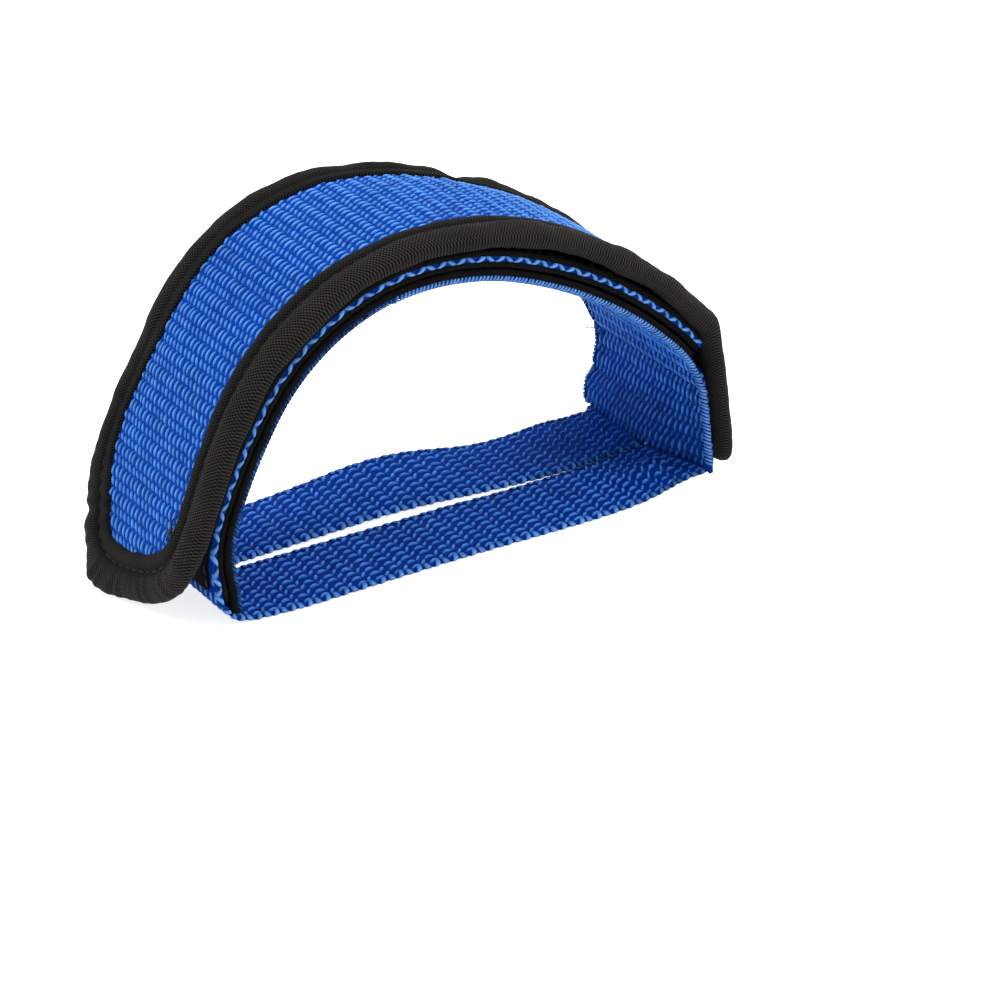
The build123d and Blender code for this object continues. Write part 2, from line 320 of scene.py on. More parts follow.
def tube_layout(rows, around, box, flip=False, girth=None, lanes=1):
    """Where a tube's faces lie in a box of the layout: the sides in lanes, the caps in a corner."""
    girth = np.linspace(0, 1, around + 1) if girth is None else girth
    strip = np.arange(rows - 1)[:, None, None]
    each = math.ceil((rows - 1) / lanes)
    u = (strip % each + np.array([0, 1, 1, 0])) / each
    v = np.stack([girth[:-1], girth[:-1], girth[1:], girth[1:]], -1)
    v = (strip // each + 0.03 + 0.94 * v) / lanes * 0.96
    sides = np.stack(np.broadcast_arrays(u, v), -1)
    if not flip:
        sides = sides[:, :, [0, 3, 2, 1]]
    angle = np.linspace(0, 2 * np.pi, around, endpoint=False)
    cap = 0.01 * np.stack([np.cos(angle), np.sin(angle)], -1)[None]
    low, high = np.array(box[:2]), np.array(box[2:])
    spots = [sides.reshape(-1, 4, 2), cap + (0.02, 0.98), cap + (0.05, 0.98)]
    return [low + spot * (high - low) for spot in spots]


# %% The mesh builder
TUCKED_SIZE = 0.02


class Piece:
    """Gathers batches of points and faces and makes one object from them."""

    def __init__(self, name, settle=None):
        self.name = name
        self.settle = settle
        self.points, self.lift, self.tone, self.grain = [], [], [], []
        self.corners, self.sizes, self.map = [], [], []
        self.count = 0

    def add(self, points, faces, lift, tone, grain, layout, tucked=()):
        """points is (items, points, 3). faces are lists of index rows, the same for every item.

        layout gives a spot for each point, or a list with a spot for each corner of each face.
        Faces in a tucked list get next to no room on it, as nobody sees them."""
        items, each = points.shape[:2]
        if self.settle is not None:
            points = self.settle(points)
        self.points.append(points.reshape(-1, 3))
        self.lift.append(np.broadcast_to(lift, (items, each)).ravel())
        tones = np.asarray(tone, float).reshape(-1, 1)
        self.tone.append(np.broadcast_to(tones, (items, each)).ravel())
        self.grain.append(np.broadcast_to(grain, (items, each, 3)).reshape(-1, 3))
        first = self.count + np.arange(items)[:, None, None] * each
        for order, rows in enumerate(faces):
            rows = np.asarray(rows)
            spot = layout[order] if isinstance(layout, list) else layout[:, rows]
            if order in tucked:
                middle = spot.mean(axis=(1, 2), keepdims=True)
                spot = middle + (spot - middle) * TUCKED_SIZE
            self.corners.append((first + rows[None]).ravel())
            self.sizes.append(np.full(items * len(rows), rows.shape[1]))
            self.map.append(spot.reshape(-1, 2))
        self.count += items * each

    def finish(self, material, slot):
        """The object, smooth-shaded, with its attributes and its flat layout."""
        mesh = bpy.data.meshes.new(self.name)
        points = np.concatenate(self.points) * MM
        corners = np.concatenate(self.corners)
        sizes = np.concatenate(self.sizes)
        mesh.vertices.add(len(points))
        mesh.vertices.foreach_set("co", points.astype(np.float32).ravel())
        mesh.loops.add(len(corners))
        mesh.loops.foreach_set("vertex_index", corners.astype(np.int32))
        mesh.polygons.add(len(sizes))
        starts = np.concatenate([[0], np.cumsum(sizes)[:-1]])
        mesh.polygons.foreach_set("loop_start", starts.astype(np.int32))
        mesh.update(calc_edges=True)
        mesh.validate()
        mesh.shade_smooth()
        for name, values in (("lift", self.lift), ("tone", self.tone)):
            made = mesh.attributes.new(name, "FLOAT", "POINT")
            made.data.foreach_set("value", np.concatenate(values).astype(np.float32))
        made = mesh.attributes.new("grain", "FLOAT_VECTOR", "POINT")
        made.data.foreach_set("vector", np.concatenate(self.grain).astype(np.float32).ravel())
        spots = mesh.uv_layers.new(name="OFBake")
        spots.uv.foreach_set("vector", np.concatenate(self.map).astype(np.float32).ravel())
        made = bpy.data.objects.new(self.name, mesh)
        bpy.context.scene.collection.objects.link(made)
        mesh.materials.append(material)
        triangles = int((sizes - 2).sum())
        print(self.name, "points", len(points), "triangles", triangles)
        return made


# %% Room on the flat layout
def cells(items, local, box=(0.0, 0.0, 1.0, 1.0)):
    """Gives every item of a batch its own cell in a box of the layout. local is 0 to 1."""
    across = max(1, math.ceil(math.sqrt(items * (box[2] - box[0]) / (box[3] - box[1]))))
    down = math.ceil(items / across)
    order = np.arange(items)
    corner = np.stack([order % across, order // across], -1)[:, None]
    size = np.array([(box[2] - box[0]) / across, (box[3] - box[1]) / down])
    spot = 0.04 + 0.92 * np.clip(local, 0, 1)
    return np.array(box[:2]) + (corner + spot) * size


# %% [markdown]
# Polypropylene webbing is a plain weave of thick, shiny yarns that run lengthwise. Seen close up,
# it is thousands of small rounded floats in staggered columns, each diving under at both ends.
# A flat strip with a picture of that never catches the light in the right way, so each float is
# its own small closed shell. Wide floats and narrow ones take turns, column by column.

# %% One float of yarn
# TUCK is how far the ends dive, and TONE_STEP moves each tone to fibres of its own.
TUCK = 0.12
FULL_HEIGHT = 0.54
TONE_STEP = 9
# Row 0 of an array of floats is the place along, and this row is the tone.
TONE = 5


def per_item(values):
    """One value for each item, shaped so that it spreads over the item's own grid."""
    return np.asarray(values, float).reshape(-1, 1, 1)


def float_shape():
    """Unit float: along and across from -1 to 1, and its height from 0 to 1."""
    u = np.array([-1.0, -0.82, -0.45, 0.0, 0.45, 0.82, 1.0])
    v = np.array([-1.0, -0.6, 0.12, 0.7, 1.0])
    width = 0.42 + 0.58 * (1 - np.abs(u) ** 2.4) ** 0.5
    rise = (1 - np.abs(u) ** 2.6) ** 0.8
    crown = np.array([0.0, 0.6, 1.0, 0.66, 0.0])
    along = np.broadcast_to(u[:, None], STRIP_GRID)
    return along, width[:, None] * v[None], rise[:, None] * crown[None]


def add_strips(piece, line, laid, grain, lift, tone, u, v, box, flip):
    """Adds a batch of closed strips. laid and grain are arrays over (item, u, v)."""
    items = len(tone)
    points = place(line, *laid).reshape(items, -1, 3)
    grain = np.stack(np.broadcast_arrays(*grain, per_item(tone) * TONE_STEP), -1)
    local = np.stack(np.broadcast_arrays((u + 1) / 2, (v + 1) / 2), -1).reshape(1, -1, 2)
    piece.add(points, strip_faces(flip), lift, tone, grain.reshape(items, -1, 3),
              cells(items, local, box), tucked=(1, 2))


def lay_floats(piece, line, spots, level, side, lie=as_cut, box=(0, 0, 1, 1), peak=0.0):
    """Adds floats. spots holds along, across, length, width, height, tone, turn and bow for each."""
    u, v, rise = float_shape()
    s, y, length, width, height, tone, turn, bow = (per_item(row) for row in spots)
    bulge = 0.6 - ((u - peak) / (1 + abs(peak))) ** 2
    run = length / 2 * u
    spread = width / 2 * v + bow * bulge
    laid = lie(s + run * np.cos(turn) - spread * np.sin(turn),
               y + run * np.sin(turn) + spread * np.cos(turn),
               level + side * (height * rise - TUCK * (1 - rise)))
    # Float ends and low floats get less lift, which the finishes paint as shade.
    lift = rise.reshape(1, -1) * np.clip(height[:, 0] / FULL_HEIGHT, 0.3, 1.0)
    add_strips(piece, line, laid, (run + s, spread + y), lift, tone.ravel(), u, v, box, side < 0)


# %% Where the floats of a webbing go
PICK = 2.6


def weave(chance, s_range, y_range, yarn, tall=0.72, low=0.44, keep=None, bow=0.4,
          wide=(3.6, 1.16), slim=(2.3, 1.2, 1.1)):
    """Columns of bowed floats, and between them columns of slimmer ones that lean over.

    wide is (length, width in yarns). slim is the same for the slimmer ones, and their lean."""
    columns = np.arange(math.floor(s_range[0] / PICK), math.ceil(s_range[1] / PICK) + 1)
    parts = []
    for column in columns:
        bold = column % 2 == 0
        length, width, lean = (*wide, 0.0) if bold else slim
        height, curve, tone = (tall, bow, 0.1) if bold else (low, 0.0, -0.1)
        s = (column + 0.5) * PICK
        if not s_range[0] + 0.3 < s < s_range[1] - 0.3:
            continue
        first = y_range[0] + (0.5 if bold else 1.5) * yarn + 0.05
        y = np.arange(first, y_range[1] - 0.4 * yarn, 2 * yarn)
        n = len(y)
        parts.append(np.stack([
            s + chance.normal(0, 0.08, n),
            y + chance.normal(0, 0.07, n),
            length * chance.normal(1, 0.05, n),
            width * yarn * chance.normal(1, 0.07, n),
            height + chance.normal(0, 0.05, n),
            tone + chance.normal(0, 0.5, n),
            lean + chance.normal(0, 0.08, n),
            curve * yarn * chance.normal(1, 0.15, n)]))
    spots = np.concatenate(parts, axis=1)
    if keep is not None:
        spots = spots[:, keep(spots[0], spots[1])]
    return spots


# %% [markdown]
# Under the floats lies the body of the webbing, a closed slab with a faint rib at every pick. It
# shows as the dark gaps between floats, and it carries the cut ends. Left at its default lift of 0,
# it takes the deepest blue of the yarn's ramp, which is painted shade for the gaps.

# %% The slab under a weave
EASE = 30.0


def slab(piece, line, s_edges, y_range, outs, step=1.3, columns=5, lie=as_cut, rib=0.0, lift=0.0,
         box=(0, 0.94, 1, 1), rough=0.0, chance=None):
    """A closed ribbon between two offsets. s_edges may be functions of the place across."""
    y = np.linspace(y_range[0], y_range[1], columns)
    first, last = (np.array([edge(v) if callable(edge) else edge for v in y]) for edge in s_edges)
    begin, end = first.min(), last.max()
    rows = int(np.ceil((end - begin) / step)) + 1
    share = np.linspace(0, 1, rows)[:, None]
    base = begin + share * (end - begin)
    at_begin = (first - begin) * (1 - smooth(base, begin, begin + EASE))
    at_end = (last - end) * smooth(base, end - EASE, end)
    along = base + (at_begin + at_end)
    across = np.broadcast_to(y, along.shape)
    wave = rib * np.cos(2 * np.pi * along / PICK)
    top = outs[1] + wave
    bottom = outs[0] - wave
    if rough:
        top = top + chance.normal(0, rough, top.shape)
        bottom = bottom + chance.normal(0, rough, bottom.shape)
    ring = [np.concatenate([front, behind[:, ::-1]], 1)
            for front, behind in ((along, along), (across, across), (top, bottom))]
    laid = lie(*ring)
    piece.add(place(line, *laid).reshape(1, -1, 3), tube_faces(rows, 2 * columns, True), lift, [0.0],
              np.stack(laid, -1).reshape(1, -1, 3), tube_layout(rows, 2 * columns, box, True))


# %% [markdown]
# At its edges the weft yarn turns round the outermost warp and comes back. That makes the
# selvedge, a row of small loops that wrap the edge. Each loop is a strip bent round the slab.

# %% Loops round a selvedge
WRAP_ROUND = math.radians(112.0)


def edge_loops(piece, line, s, edge, hand, middle, reach, rise, width, tone, slant, fat, lie, box):
    """Adds a bent strip round an edge at each place s. hand is 1 where the edge faces +across."""
    u = np.linspace(-1, 1, STRIP_GRID[0])[:, None]
    v = np.array([-1.0, -0.68, 0.0, 0.68, 1.0])
    crown = np.array([0.0, 0.74, 1.0, 0.74, 0.0])
    angle = WRAP_ROUND * u
    swell = fat * (1 - 0.55 * np.abs(u) ** 3) * crown
    half_wide = width / 2 * (1 - 0.35 * np.abs(u) ** 3)
    along = per_item(s) + half_wide * v + slant * np.sin(angle)
    across = np.broadcast_to(edge + hand * ((reach + swell) * np.cos(angle) - reach), along.shape)
    out = np.broadcast_to(middle + (rise + swell) * np.sin(angle), along.shape)
    along, across, out = lie(along, across, out)
    # The loop's flanks get less lift, which the yarn's ramp paints as shade.
    lift = (0.2 + 0.8 * np.clip(swell / fat, 0, 1)).reshape(1, -1)
    add_strips(piece, line, (along, across, out), (across + out, along), lift, tone, u, v, box, hand > 0)


# %% [markdown]
# A finish is a small network of nodes. The yarn's colour runs from a deep blue in the gaps, which is
# painted shade, to a bright azure on the crests, which is a painted highlight, read from the height
# stored in the mesh. Each yarn has a tone of its own, partly random and partly painted shade, and
# fine filaments lie along it. Numbers that never change sit on the shader's own sockets.

# %% Starting a finish
def new_finish(name):
    """An empty finish with its shader, linked to the output."""
    made = bpy.data.materials.new(name)
    made.use_nodes = True
    tree = made.node_tree
    tree.nodes.clear()
    output = tree.nodes.new("ShaderNodeOutputMaterial")
    shader = tree.nodes.new("ShaderNodeBsdfPrincipled")
    tree.links.new(shader.outputs["BSDF"], output.inputs["Surface"])
    return made, tree, shader


def add(tree, kind, values=None, **settings):
    """A node with its settings, and values or links for its inputs."""
    made = tree.nodes.new("ShaderNode" + kind)
    for name, value in settings.items():
        setattr(made, name, value)
    for name, value in (values or {}).items():
        if isinstance(value, bpy.types.NodeSocket):
            tree.links.new(value, made.inputs[name])
        else:
            made.inputs[name].default_value = value
    return made


# %% Short names for the nodes in use
def ramp(tree, factor, stops):
    """A colour ramp with its stops as (place, colour)."""
    made = add(tree, "ValToRGB", {"Fac": factor})
    elements = made.color_ramp.elements
    while len(elements) < len(stops):
        elements.new(0.5)
    for element, (place_at, colour) in zip(elements, stops):
        element.position = place_at
        element.color = (*colour, 1)
    return made


def number(tree, operation, a, b=0.0, c=0.0, limit=False):
    """One sum on numbers or sockets. MULTIPLY_ADD gives a times b plus c."""
    return add(tree, "Math", {0: a, 1: b, 2: c}, operation=operation, use_clamp=limit).outputs[0]


def stored(tree, name, output="Fac"):
    """A value kept in the mesh."""
    return add(tree, "Attribute", attribute_name=name).outputs[output]


def remap(tree, value, low, high, at_low, at_high):
    """Maps low to high evenly onto at_low to at_high."""
    return add(tree, "MapRange", {"Value": value, 1: low, 2: high, 3: at_low, 4: at_high}).outputs[0]


def noise(tree, places, scale, detail, roughness=0.5):
    """Soft random patches, 0 to 1, that stay with the yarn's own places."""
    values = {"Vector": places, "Scale": scale, "Detail": detail, "Roughness": roughness}
    return add(tree, "TexNoise", values).outputs["Fac"]


def relief(tree, shader, height, strength, distance):
    """Fine relief that is too small to be a shape."""
    made = add(tree, "Bump", {"Height": height, "Strength": strength, "Distance": distance})
    tree.links.new(made.outputs["Normal"], shader.inputs["Normal"])


def tinted(tree, shader, value, colour):
    """Feeds a colour, made darker or lighter by a value, to the shader."""
    made = add(tree, "HueSaturation", {"Value": value, "Color": colour.outputs["Color"]})
    tree.links.new(made.outputs["Color"], shader.inputs["Base Color"])


# %% The webbing yarn's finish
def yarn_finish(name, gap_shade, body, crest_highlight):
    """Shiny filaments. Dark tones, which are mostly painted shade, lose their shine too."""
    made, tree, shader = new_finish(name)
    grain = stored(tree, "grain", "Vector")
    tone = stored(tree, "tone")
    stretched = add(tree, "Mapping", {"Vector": grain, "Scale": (0.35, 9.0, 1.0)}).outputs["Vector"]
    fibres = noise(tree, stretched, 1.0, 3.0, 0.6)
    frayed = number(tree, "MULTIPLY_ADD", fibres, 0.22, -0.11)
    raised = number(tree, "ADD", stored(tree, "lift"), frayed, limit=True)
    halfway = mix(np.array(gap_shade), np.array(body), 0.5)
    # The ramp paints shade into the gaps and a highlight onto the crests, from the stored height.
    colour = ramp(tree, raised, [(0.0, gap_shade), (0.35, halfway), (0.72, body), (1.0, crest_highlight)])
    patch = number(tree, "MULTIPLY_ADD", noise(tree, grain, 0.09, 2.0), 0.5, 0.75)
    tinted(tree, shader, number(tree, "ADD", number(tree, "MULTIPLY", tone, 0.16), patch), colour)
    tree.links.new(remap(tree, fibres, 0.3, 0.7, 0.42, 0.62), shader.inputs["Roughness"])
    relief(tree, shader, fibres, 0.35, 0.00012)
    shine = remap(tree, raised, 0.5, 1.0, 0.02, 0.5)
    # Dark tones, mostly painted shade, lose their shine here.
    unshaded_shine = remap(tree, tone, -3.4, -0.8, 0.1, 1.0)
    tree.links.new(number(tree, "MULTIPLY", shine, unshaded_shine), shader.inputs["Specular IOR Level"])
    return made


# The gap colour is painted shade, and the crest colour a painted highlight over the body colour.
BLUE_GAP_SHADE = (0.0012, 0.034, 0.28)
BLUE_BODY = (0.052, 0.228, 0.69)
BLUE_CREST_HIGHLIGHT = (0.146, 0.380, 0.92)
blue_yarn = yarn_finish("blue_webbing_yarn", BLUE_GAP_SHADE, BLUE_BODY, BLUE_CREST_HIGHLIGHT)

# %% [markdown]
# The inner band is the layer that touches the shoe. It is plain 50 mm webbing, cut with a hot
# knife at the right, where two rows of stitching pull it down into shallow furrows.

# %% The inner band's lie
ROW_RISES = (25.0, 12.5)
band_rows = [arch.length - (rise - band_low_right) / math.cos(LEAN) for rise in ROW_RISES]
FURROW = 0.42
NOTCH = 1.1
SWELL = 0.5
TAIL = 0.7
RIGHT_PULL = 6.6
LEFT_PUSH = 3.0


def band_lie(along, across, out):
    """The furrows that the sewn rows pull into the band, and the notches at its rear edge."""
    dip = sum(bump(along, row, 2.1) for row in band_rows)
    out = out + FURROW * dip * (1 - smooth(np.abs(across), 21.5, 24.5) * 0.6)
    notch = sum(bump(along, row, 3.4) for row in band_rows) * smooth(across, 12, HALF_BAND)
    swell = bump(along, sum(band_rows) / 2, 8) * smooth(across, 10, 25)
    tail = bump(along, arch.length - 5, 7) * smooth(across, 12, HALF_BAND)
    across = across - NOTCH * notch - SWELL * swell + TAIL * tail + 0.15 * np.sin(along / 17.0)
    return along, across, out


def settle(points):
    """Near the floor both ends of the loop lean inward, the right one more behind than in front."""
    x, y, z = points[..., 0] - shift_x, points[..., 1], points[..., 2]
    share = smooth(y, -28, -2) * (1 - 0.14 * smooth(y, 5, 25))
    pull = RIGHT_PULL * smooth(x, 108, 138) * (1 - smooth(z, 1.0, 23.0)) * share
    push = LEFT_PUSH * (1 - smooth(x, -3, 26)) * (1 - smooth(z, 2.0, 32.0))
    moved = points.copy()
    moved[..., 0] = points[..., 0] - pull + push
    return moved


def band_end(across):
    """The raw end of the band, cut a little wavy, with a tail at its front corner."""
    tail = 2.9 * bump(across, -24.8, 3.6) + 0.6 * bump(across, 24.5, 4)
    return arch.length - 0.2 + float(tail) + 0.3 * math.sin(across * 0.9)


# %% The inner band's weave
FINE_YARN = 0.925
TAPE_STOP = arch.length - 33.5
chance = np.random.default_rng(11)
band = Piece("inner_band_woven", settle)
slab(band, arch, (0.6, band_end), (-HALF_BAND + 0.9, HALF_BAND - 0.9), (0.42, WEBBING - 0.05),
     step=0.65, columns=13, rib=0.06, lie=band_lie)
band_spots = weave(chance, (0.9, arch.length), (-HALF_BAND + 1.7, HALF_BAND - 1.7), FINE_YARN,
                   tall=0.56, low=0.46, bow=0.5, wide=(3.7, 0.98), slim=(2.9, 1.0, 0.35))
# Painted light and shade: the band is lighter higher up on its right side and darker low in the right corner
# by the straps.
band_spots[TONE] += np.interp(band_spots[0], (120, 190, 204, 217, 223), (0.9, 2.2, 0.9, -1.7, -2.5))
# Painted shade in the furrows of the two sewn rows.
band_spots[TONE] -= 1.5 * sum(bump(band_spots[0], row + 0.6, 1.7) for row in band_rows)
lay_floats(band, arch, band_spots, 0.5, -1, lie=band_lie, box=(0, 0.12, 1, 0.9), peak=0.4)
bare = weave(chance, (TAPE_STOP - 2, TAPE_STOP + 7), (-HALF_BAND + 1.2, HALF_BAND - 1.2), FINE_YARN,
             tall=0.5, low=0.4, wide=(3.7, 1.1), slim=(2.7, 1.2, 0.55))
lay_floats(band, arch, bare, WEBBING - 0.2, 1, lie=band_lie, box=(0, 0.9, 1, 0.94))

# %% The inner band's selvedges
# The left half's loops are painted nearly black and kept slim, as shade on the edge; the right half's loops
# are a little darker than the floats.
SHADED_EDGE_STOP = 92.0
LEFT_HALF = (0.9, SHADED_EDGE_STOP, 0.08, -4.4, 0.6)
RIGHT_HALF = (SHADED_EDGE_STOP, arch.length - 0.2, 0.3, -1.0, 0.74)
low = 0.0
for hand in (-1, 1):
    for begin, stop, fat, tone, rise in (LEFT_HALF, RIGHT_HALF):
        s = np.arange(begin, stop, 1.05)
        s = s + chance.normal(0, 0.06, len(s))
        edge_loops(band, arch, s, hand * (HALF_BAND - 0.35), hand, WEBBING / 2 - 0.1, 1.15, rise, 0.9,
                   chance.normal(tone, 0.6, len(s)), 0.6, fat if hand < 0 else 0.1, band_lie,
                   (0, low, 1, low + 0.03))
        low += 0.03
inner_band = band.finish(blue_yarn, "blue_webbing")
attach(inner_band, "root")
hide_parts("inner_band_webbing")

# %% [markdown]
# The two narrow straps carry the pull. They are the same yarn in a coarser weave. Each runs from
# its sewn end at the right along the floor, round the left corner and up over the arch. The rear
# At the left corner the strap bends with the wrap, so one mesh blends between the two bodies.

# %% How the two straps lie on the floor
# Each table is places from the passage's left side, and how far the strap strays there.
FRONT_OUTER = ([5, 10, 20, 40, 60, 80, 90, 100, 110, 116, 122, 130, 137],
               [0, -0.8, -1.5, -1.6, -1.8, -2.6, -3.2, -3.6, -3.6, -3.2, -2.2, 0.2, 1.6])
FRONT_INNER = ([15, 40, 60, 75, 85, 95, 110, 130, 138],
               [0, -0.6, -1.4, -1.7, -2.6, -3.0, -3.0, -2.6, -2.3])
REAR_DRIFT = ([-5, 20, 45, 60, 75, 85, 95, 104, 112, 125, 138],
              [0.5, 0.2, 0, -0.1, -0.9, -2.0, -2.9, -3.5, -3.8, -3.6, -3.3])
REAR_RISE_INNER = ([0, 15, 30, 45, 55, 65, 75, 85, 97],
                   [0, 0.4, 0.65, 0.85, 1.1, 0.95, 0.6, 0.3, 0.05])
REAR_RISE_OUTER = ([0, 20, 36, 50, 60, 68, 77, 85, 92, 98, 105, 112, 118, 124, 131],
                   [0, 0.4, 0.9, 2.0, 3.1, 3.6, 3.2, 2.2, 0.9, 0.1, 0.0, 0.4, 0.8, 0.8, 0.1])


def bend_through(table, x):
    """A soft curve through a short table of places and values."""
    places, values = (np.array(row, float) for row in table)
    fine = np.linspace(-20, 160, 361)
    level = np.interp(fine, places, values)
    weights = np.exp(-0.5 * (np.arange(-16, 17) / 6.0) ** 2)
    level = np.convolve(np.pad(level, 16, mode="edge"), weights / weights.sum(), mode="valid")
    return np.interp(x, fine, level)


def strap_lie(hand):
    """The drift and bow of one strap along the bottom run. hand is -1 in front and 1 behind."""
    def lie(along, across, out):
        x = sewn_x - np.asarray(along, float)
        share = np.clip(np.abs(across) / HALF_BAND, 0, 1)
        if hand < 0:
            drift = mix(bend_through(FRONT_INNER, x), bend_through(FRONT_OUTER, x), share)
            rise = 2.4 * bump(across, -14, 6) * smooth(x, 117, 130) * (1 - smooth(x, 133, 140))
        else:
            drift = bend_through(REAR_DRIFT, x)
            rise = mix(bend_through(REAR_RISE_INNER, x), bend_through(REAR_RISE_OUTER, x), share ** 1.3)
        round_off = 1.3 * bump(along, sewn_x - corner_x + 4.0, 9.0)
        return along, across + drift, out - rise - round_off
    return lie


def sewn_lie(hand):
    """The sewn ends follow on from where the straps end."""
    def lie(along, across, out):
        share = np.clip(np.abs(across) / HALF_BAND, 0, 1)
        near_floor = smooth(along, sewn_line.length - 14, sewn_line.length)
        if hand > 0:
            return along, across + mix(-3.3, -1.5, share) * near_floor, out
        return along, across + mix(-2.3, 1.6, share) * near_floor + 1.8 * share * (1 - near_floor), out
    return lie


# %% Selvedges of the straps
def strap_selvedge(piece, line, edges, outs, chance, lie, lows, length=None, corner_shade=0.0,
                   first=(1.6, -0.1, 0.24, 0.4), second=(1.9, -1.3, 0.16, -0.3), reach=1.05):
    """Fat weft loops at every other pick, and slimmer ones between them.

    first and second are (width, tone, fatness, lean) of the two kinds of loop."""
    length = length or line.length
    order = np.arange(math.floor(length / PICK))
    places = order * PICK + PICK / 2
    kept = (places > 0.8) & (places < length - 0.8)
    order, places = order[kept], places[kept]
    low, high = lows
    step = (high - low) / 4
    for edge, hand in zip(edges, (-1, 1)):
        inner = abs(edge) < HALF_BAND / 2
        corner_shade_stop = 62 if inner else 46
        edge_shade = corner_shade * (1.2 if inner else 1.0)
        for kind, (width, tone, fat, lean) in enumerate((first, second)):
            s = places[order % 2 == kind]
            moved = s + chance.normal(0, 0.08, len(s))
            # Near the sewn end the loops are painted darker, as shade in the corner, the inner edges more and
            # further.
            tones = chance.normal(tone, 0.4, len(s)) - edge_shade * (1 - smooth(s, 8, corner_shade_stop))
            edge_loops(piece, line, moved, edge - hand * 0.3, hand, (outs[0] + outs[1]) / 2, reach,
                       (outs[1] - outs[0]) / 2 - 0.2, width, tones, lean, fat, lie, (0, low, 1, low + step))
            low += step


# %% Weave one strap
COARSE_YARN = 1.225
SLAB_IN = 0.7


def woven_strap(name, hand, edges, chance):
    """The strap along the floor, round the corner and up over the arch, as one piece."""
    strap = Piece(name + "_strap_woven", settle)
    inner = (edges[0] + SLAB_IN, edges[1] - SLAB_IN)
    lie = strap_lie(hand)
    slab(strap, bottom_line, (-0.3, bottom_line.length), inner, (0.45, WEBBING - 0.45),
         step=0.65, columns=9, rib=0.06, lie=lie, box=(0, 0.9, 1, 0.94))
    slab(strap, wrap_line, (-0.2, wrap_line.length), inner, (WRAP_IN + 0.05, WRAP_OUT - 0.1),
         step=1.3, columns=4, box=(0, 0.94, 1, 0.98))
    spots = weave(chance, (0.0, bottom_line.length), (edges[0] + 0.9, edges[1] - 0.7), COARSE_YARN,
                  tall=0.7, low=0.6, bow=0.6, wide=(3.5, 0.84), slim=(2.9, 0.84, -0.72))
    # Painted shade: the floats darken towards the sewn end, the rear strap's more and further, where the
    # right leg shades them.
    shade, shade_stop = (2.5, 46) if hand > 0 else (1.9, 24)
    spots[TONE] -= shade * (1 - smooth(spots[0], shade_stop / 3, shade_stop))
    lay_floats(strap, bottom_line, spots, 0.56, -1, lie=lie, box=(0, 0.2, 1, 0.55), peak=-0.12)
    spots = weave(chance, (0.0, bottom_line.length), (edges[0] + 0.9, edges[1] - 0.9), COARSE_YARN,
                  tall=0.5, low=0.34)
    lay_floats(strap, bottom_line, spots, WEBBING - 0.5, 1, lie=lie, box=(0, 0.55, 1, 0.86))
    spots = weave(chance, (-0.5, 7.8), (edges[0] + 0.9, edges[1] - 0.9), COARSE_YARN, tall=0.6, low=0.4)
    lay_floats(strap, wrap_line, spots, WRAP_OUT - 0.4, 1, box=(0, 0.86, 1, 0.88))
    # The loops near the sewn end get painted shade.
    strap_selvedge(strap, bottom_line, edges, (0.0, WEBBING), chance, lie, (0.0, 0.1), corner_shade=2.8)
    strap_selvedge(strap, wrap_line, edges, (WRAP_IN - 0.1, WRAP_OUT + 0.1), chance, as_cut, (0.1, 0.2),
                   first=(1.8, -0.4, 0.32, 0.9), second=(1.8, -1.2, 0.28, -0.9), reach=1.35)
    made = strap.finish(blue_yarn, "blue_webbing")
    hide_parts(name + "_wrap_strap")
    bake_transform(made)


# %% Weave its sewn end
def sewn_strap_end(name, hand, edges, chance):
    """The end between the inner band and the flap, down to the floor."""
    sewn = Piece(name + "_strap_sewn_end", settle)
    inner = (edges[0] + SLAB_IN, edges[1] - SLAB_IN)
    lie = sewn_lie(hand)
    slab(sewn, sewn_end_line, (0.0, sewn_end_line.length + 0.3), inner, (0.15, WEBBING - 0.15),
         step=0.8, columns=9, lie=lie, box=(0, 0.75, 1, 1))
    spots = weave(chance, (-0.4, 10.0), (edges[0] + 0.8, edges[1] - 0.8), COARSE_YARN, tall=0.5, low=0.4)
    lay_floats(sewn, sewn_end_line, spots, WEBBING - 0.3, 1, lie=lie, box=(0, 0.5, 1, 0.75))
    strap_selvedge(sewn, sewn_end_line, edges, (0.0, WEBBING), chance, lie, (0.0, 0.5),
                   length=sewn_line.length)
    made = sewn.finish(blue_yarn, "blue_webbing")
    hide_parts(name + "_strap")
    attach(made, "root")


# %% Both straps, front and rear
for name, hand in (("front", -1), ("rear", 1)):
    chance = np.random.default_rng(20 + hand)
    edges = sorted((hand * STRAP_GAP / 2, hand * HALF_BAND))
    woven_strap(name, hand, edges, chance)
    sewn_strap_end(name, hand, edges, chance)

# %% [markdown]
# Hook-and-loop tape has two faces. The loop side is a soft black nap and the hook side a field
# of stiff little hooks. Along the arch only their cut edges show, almost pure black.

# %% The tapes' finish
def tape_finish(name, dark, light):
    """A black nap that swallows light, with a little pale dust in patches."""
    made, tree, shader = new_finish(name)
    grain = stored(tree, "grain", "Vector")
    nap = noise(tree, grain, 2.6, 4.0, 0.7)
    dust = noise(tree, grain, 0.16, 5.0, 0.65)
    dusty = mix(np.array(dark), np.array(light), 0.35)
    colour = ramp(tree, number(tree, "MULTIPLY", nap, dust), [(0.1, dark), (0.3, dusty), (0.55, light)])
    tree.links.new(colour.outputs["Color"], shader.inputs["Base Color"])
    tree.links.new(remap(tree, nap, 0.3, 0.7, 0.85, 1.0), shader.inputs["Roughness"])
    relief(tree, shader, nap, 0.6, 0.0002)
    shader.inputs["Specular IOR Level"].default_value = 0.08
    return made


black_tape = tape_finish("black_tape_pile", (0.0008, 0.0008, 0.0009), (0.011, 0.0102, 0.0095))

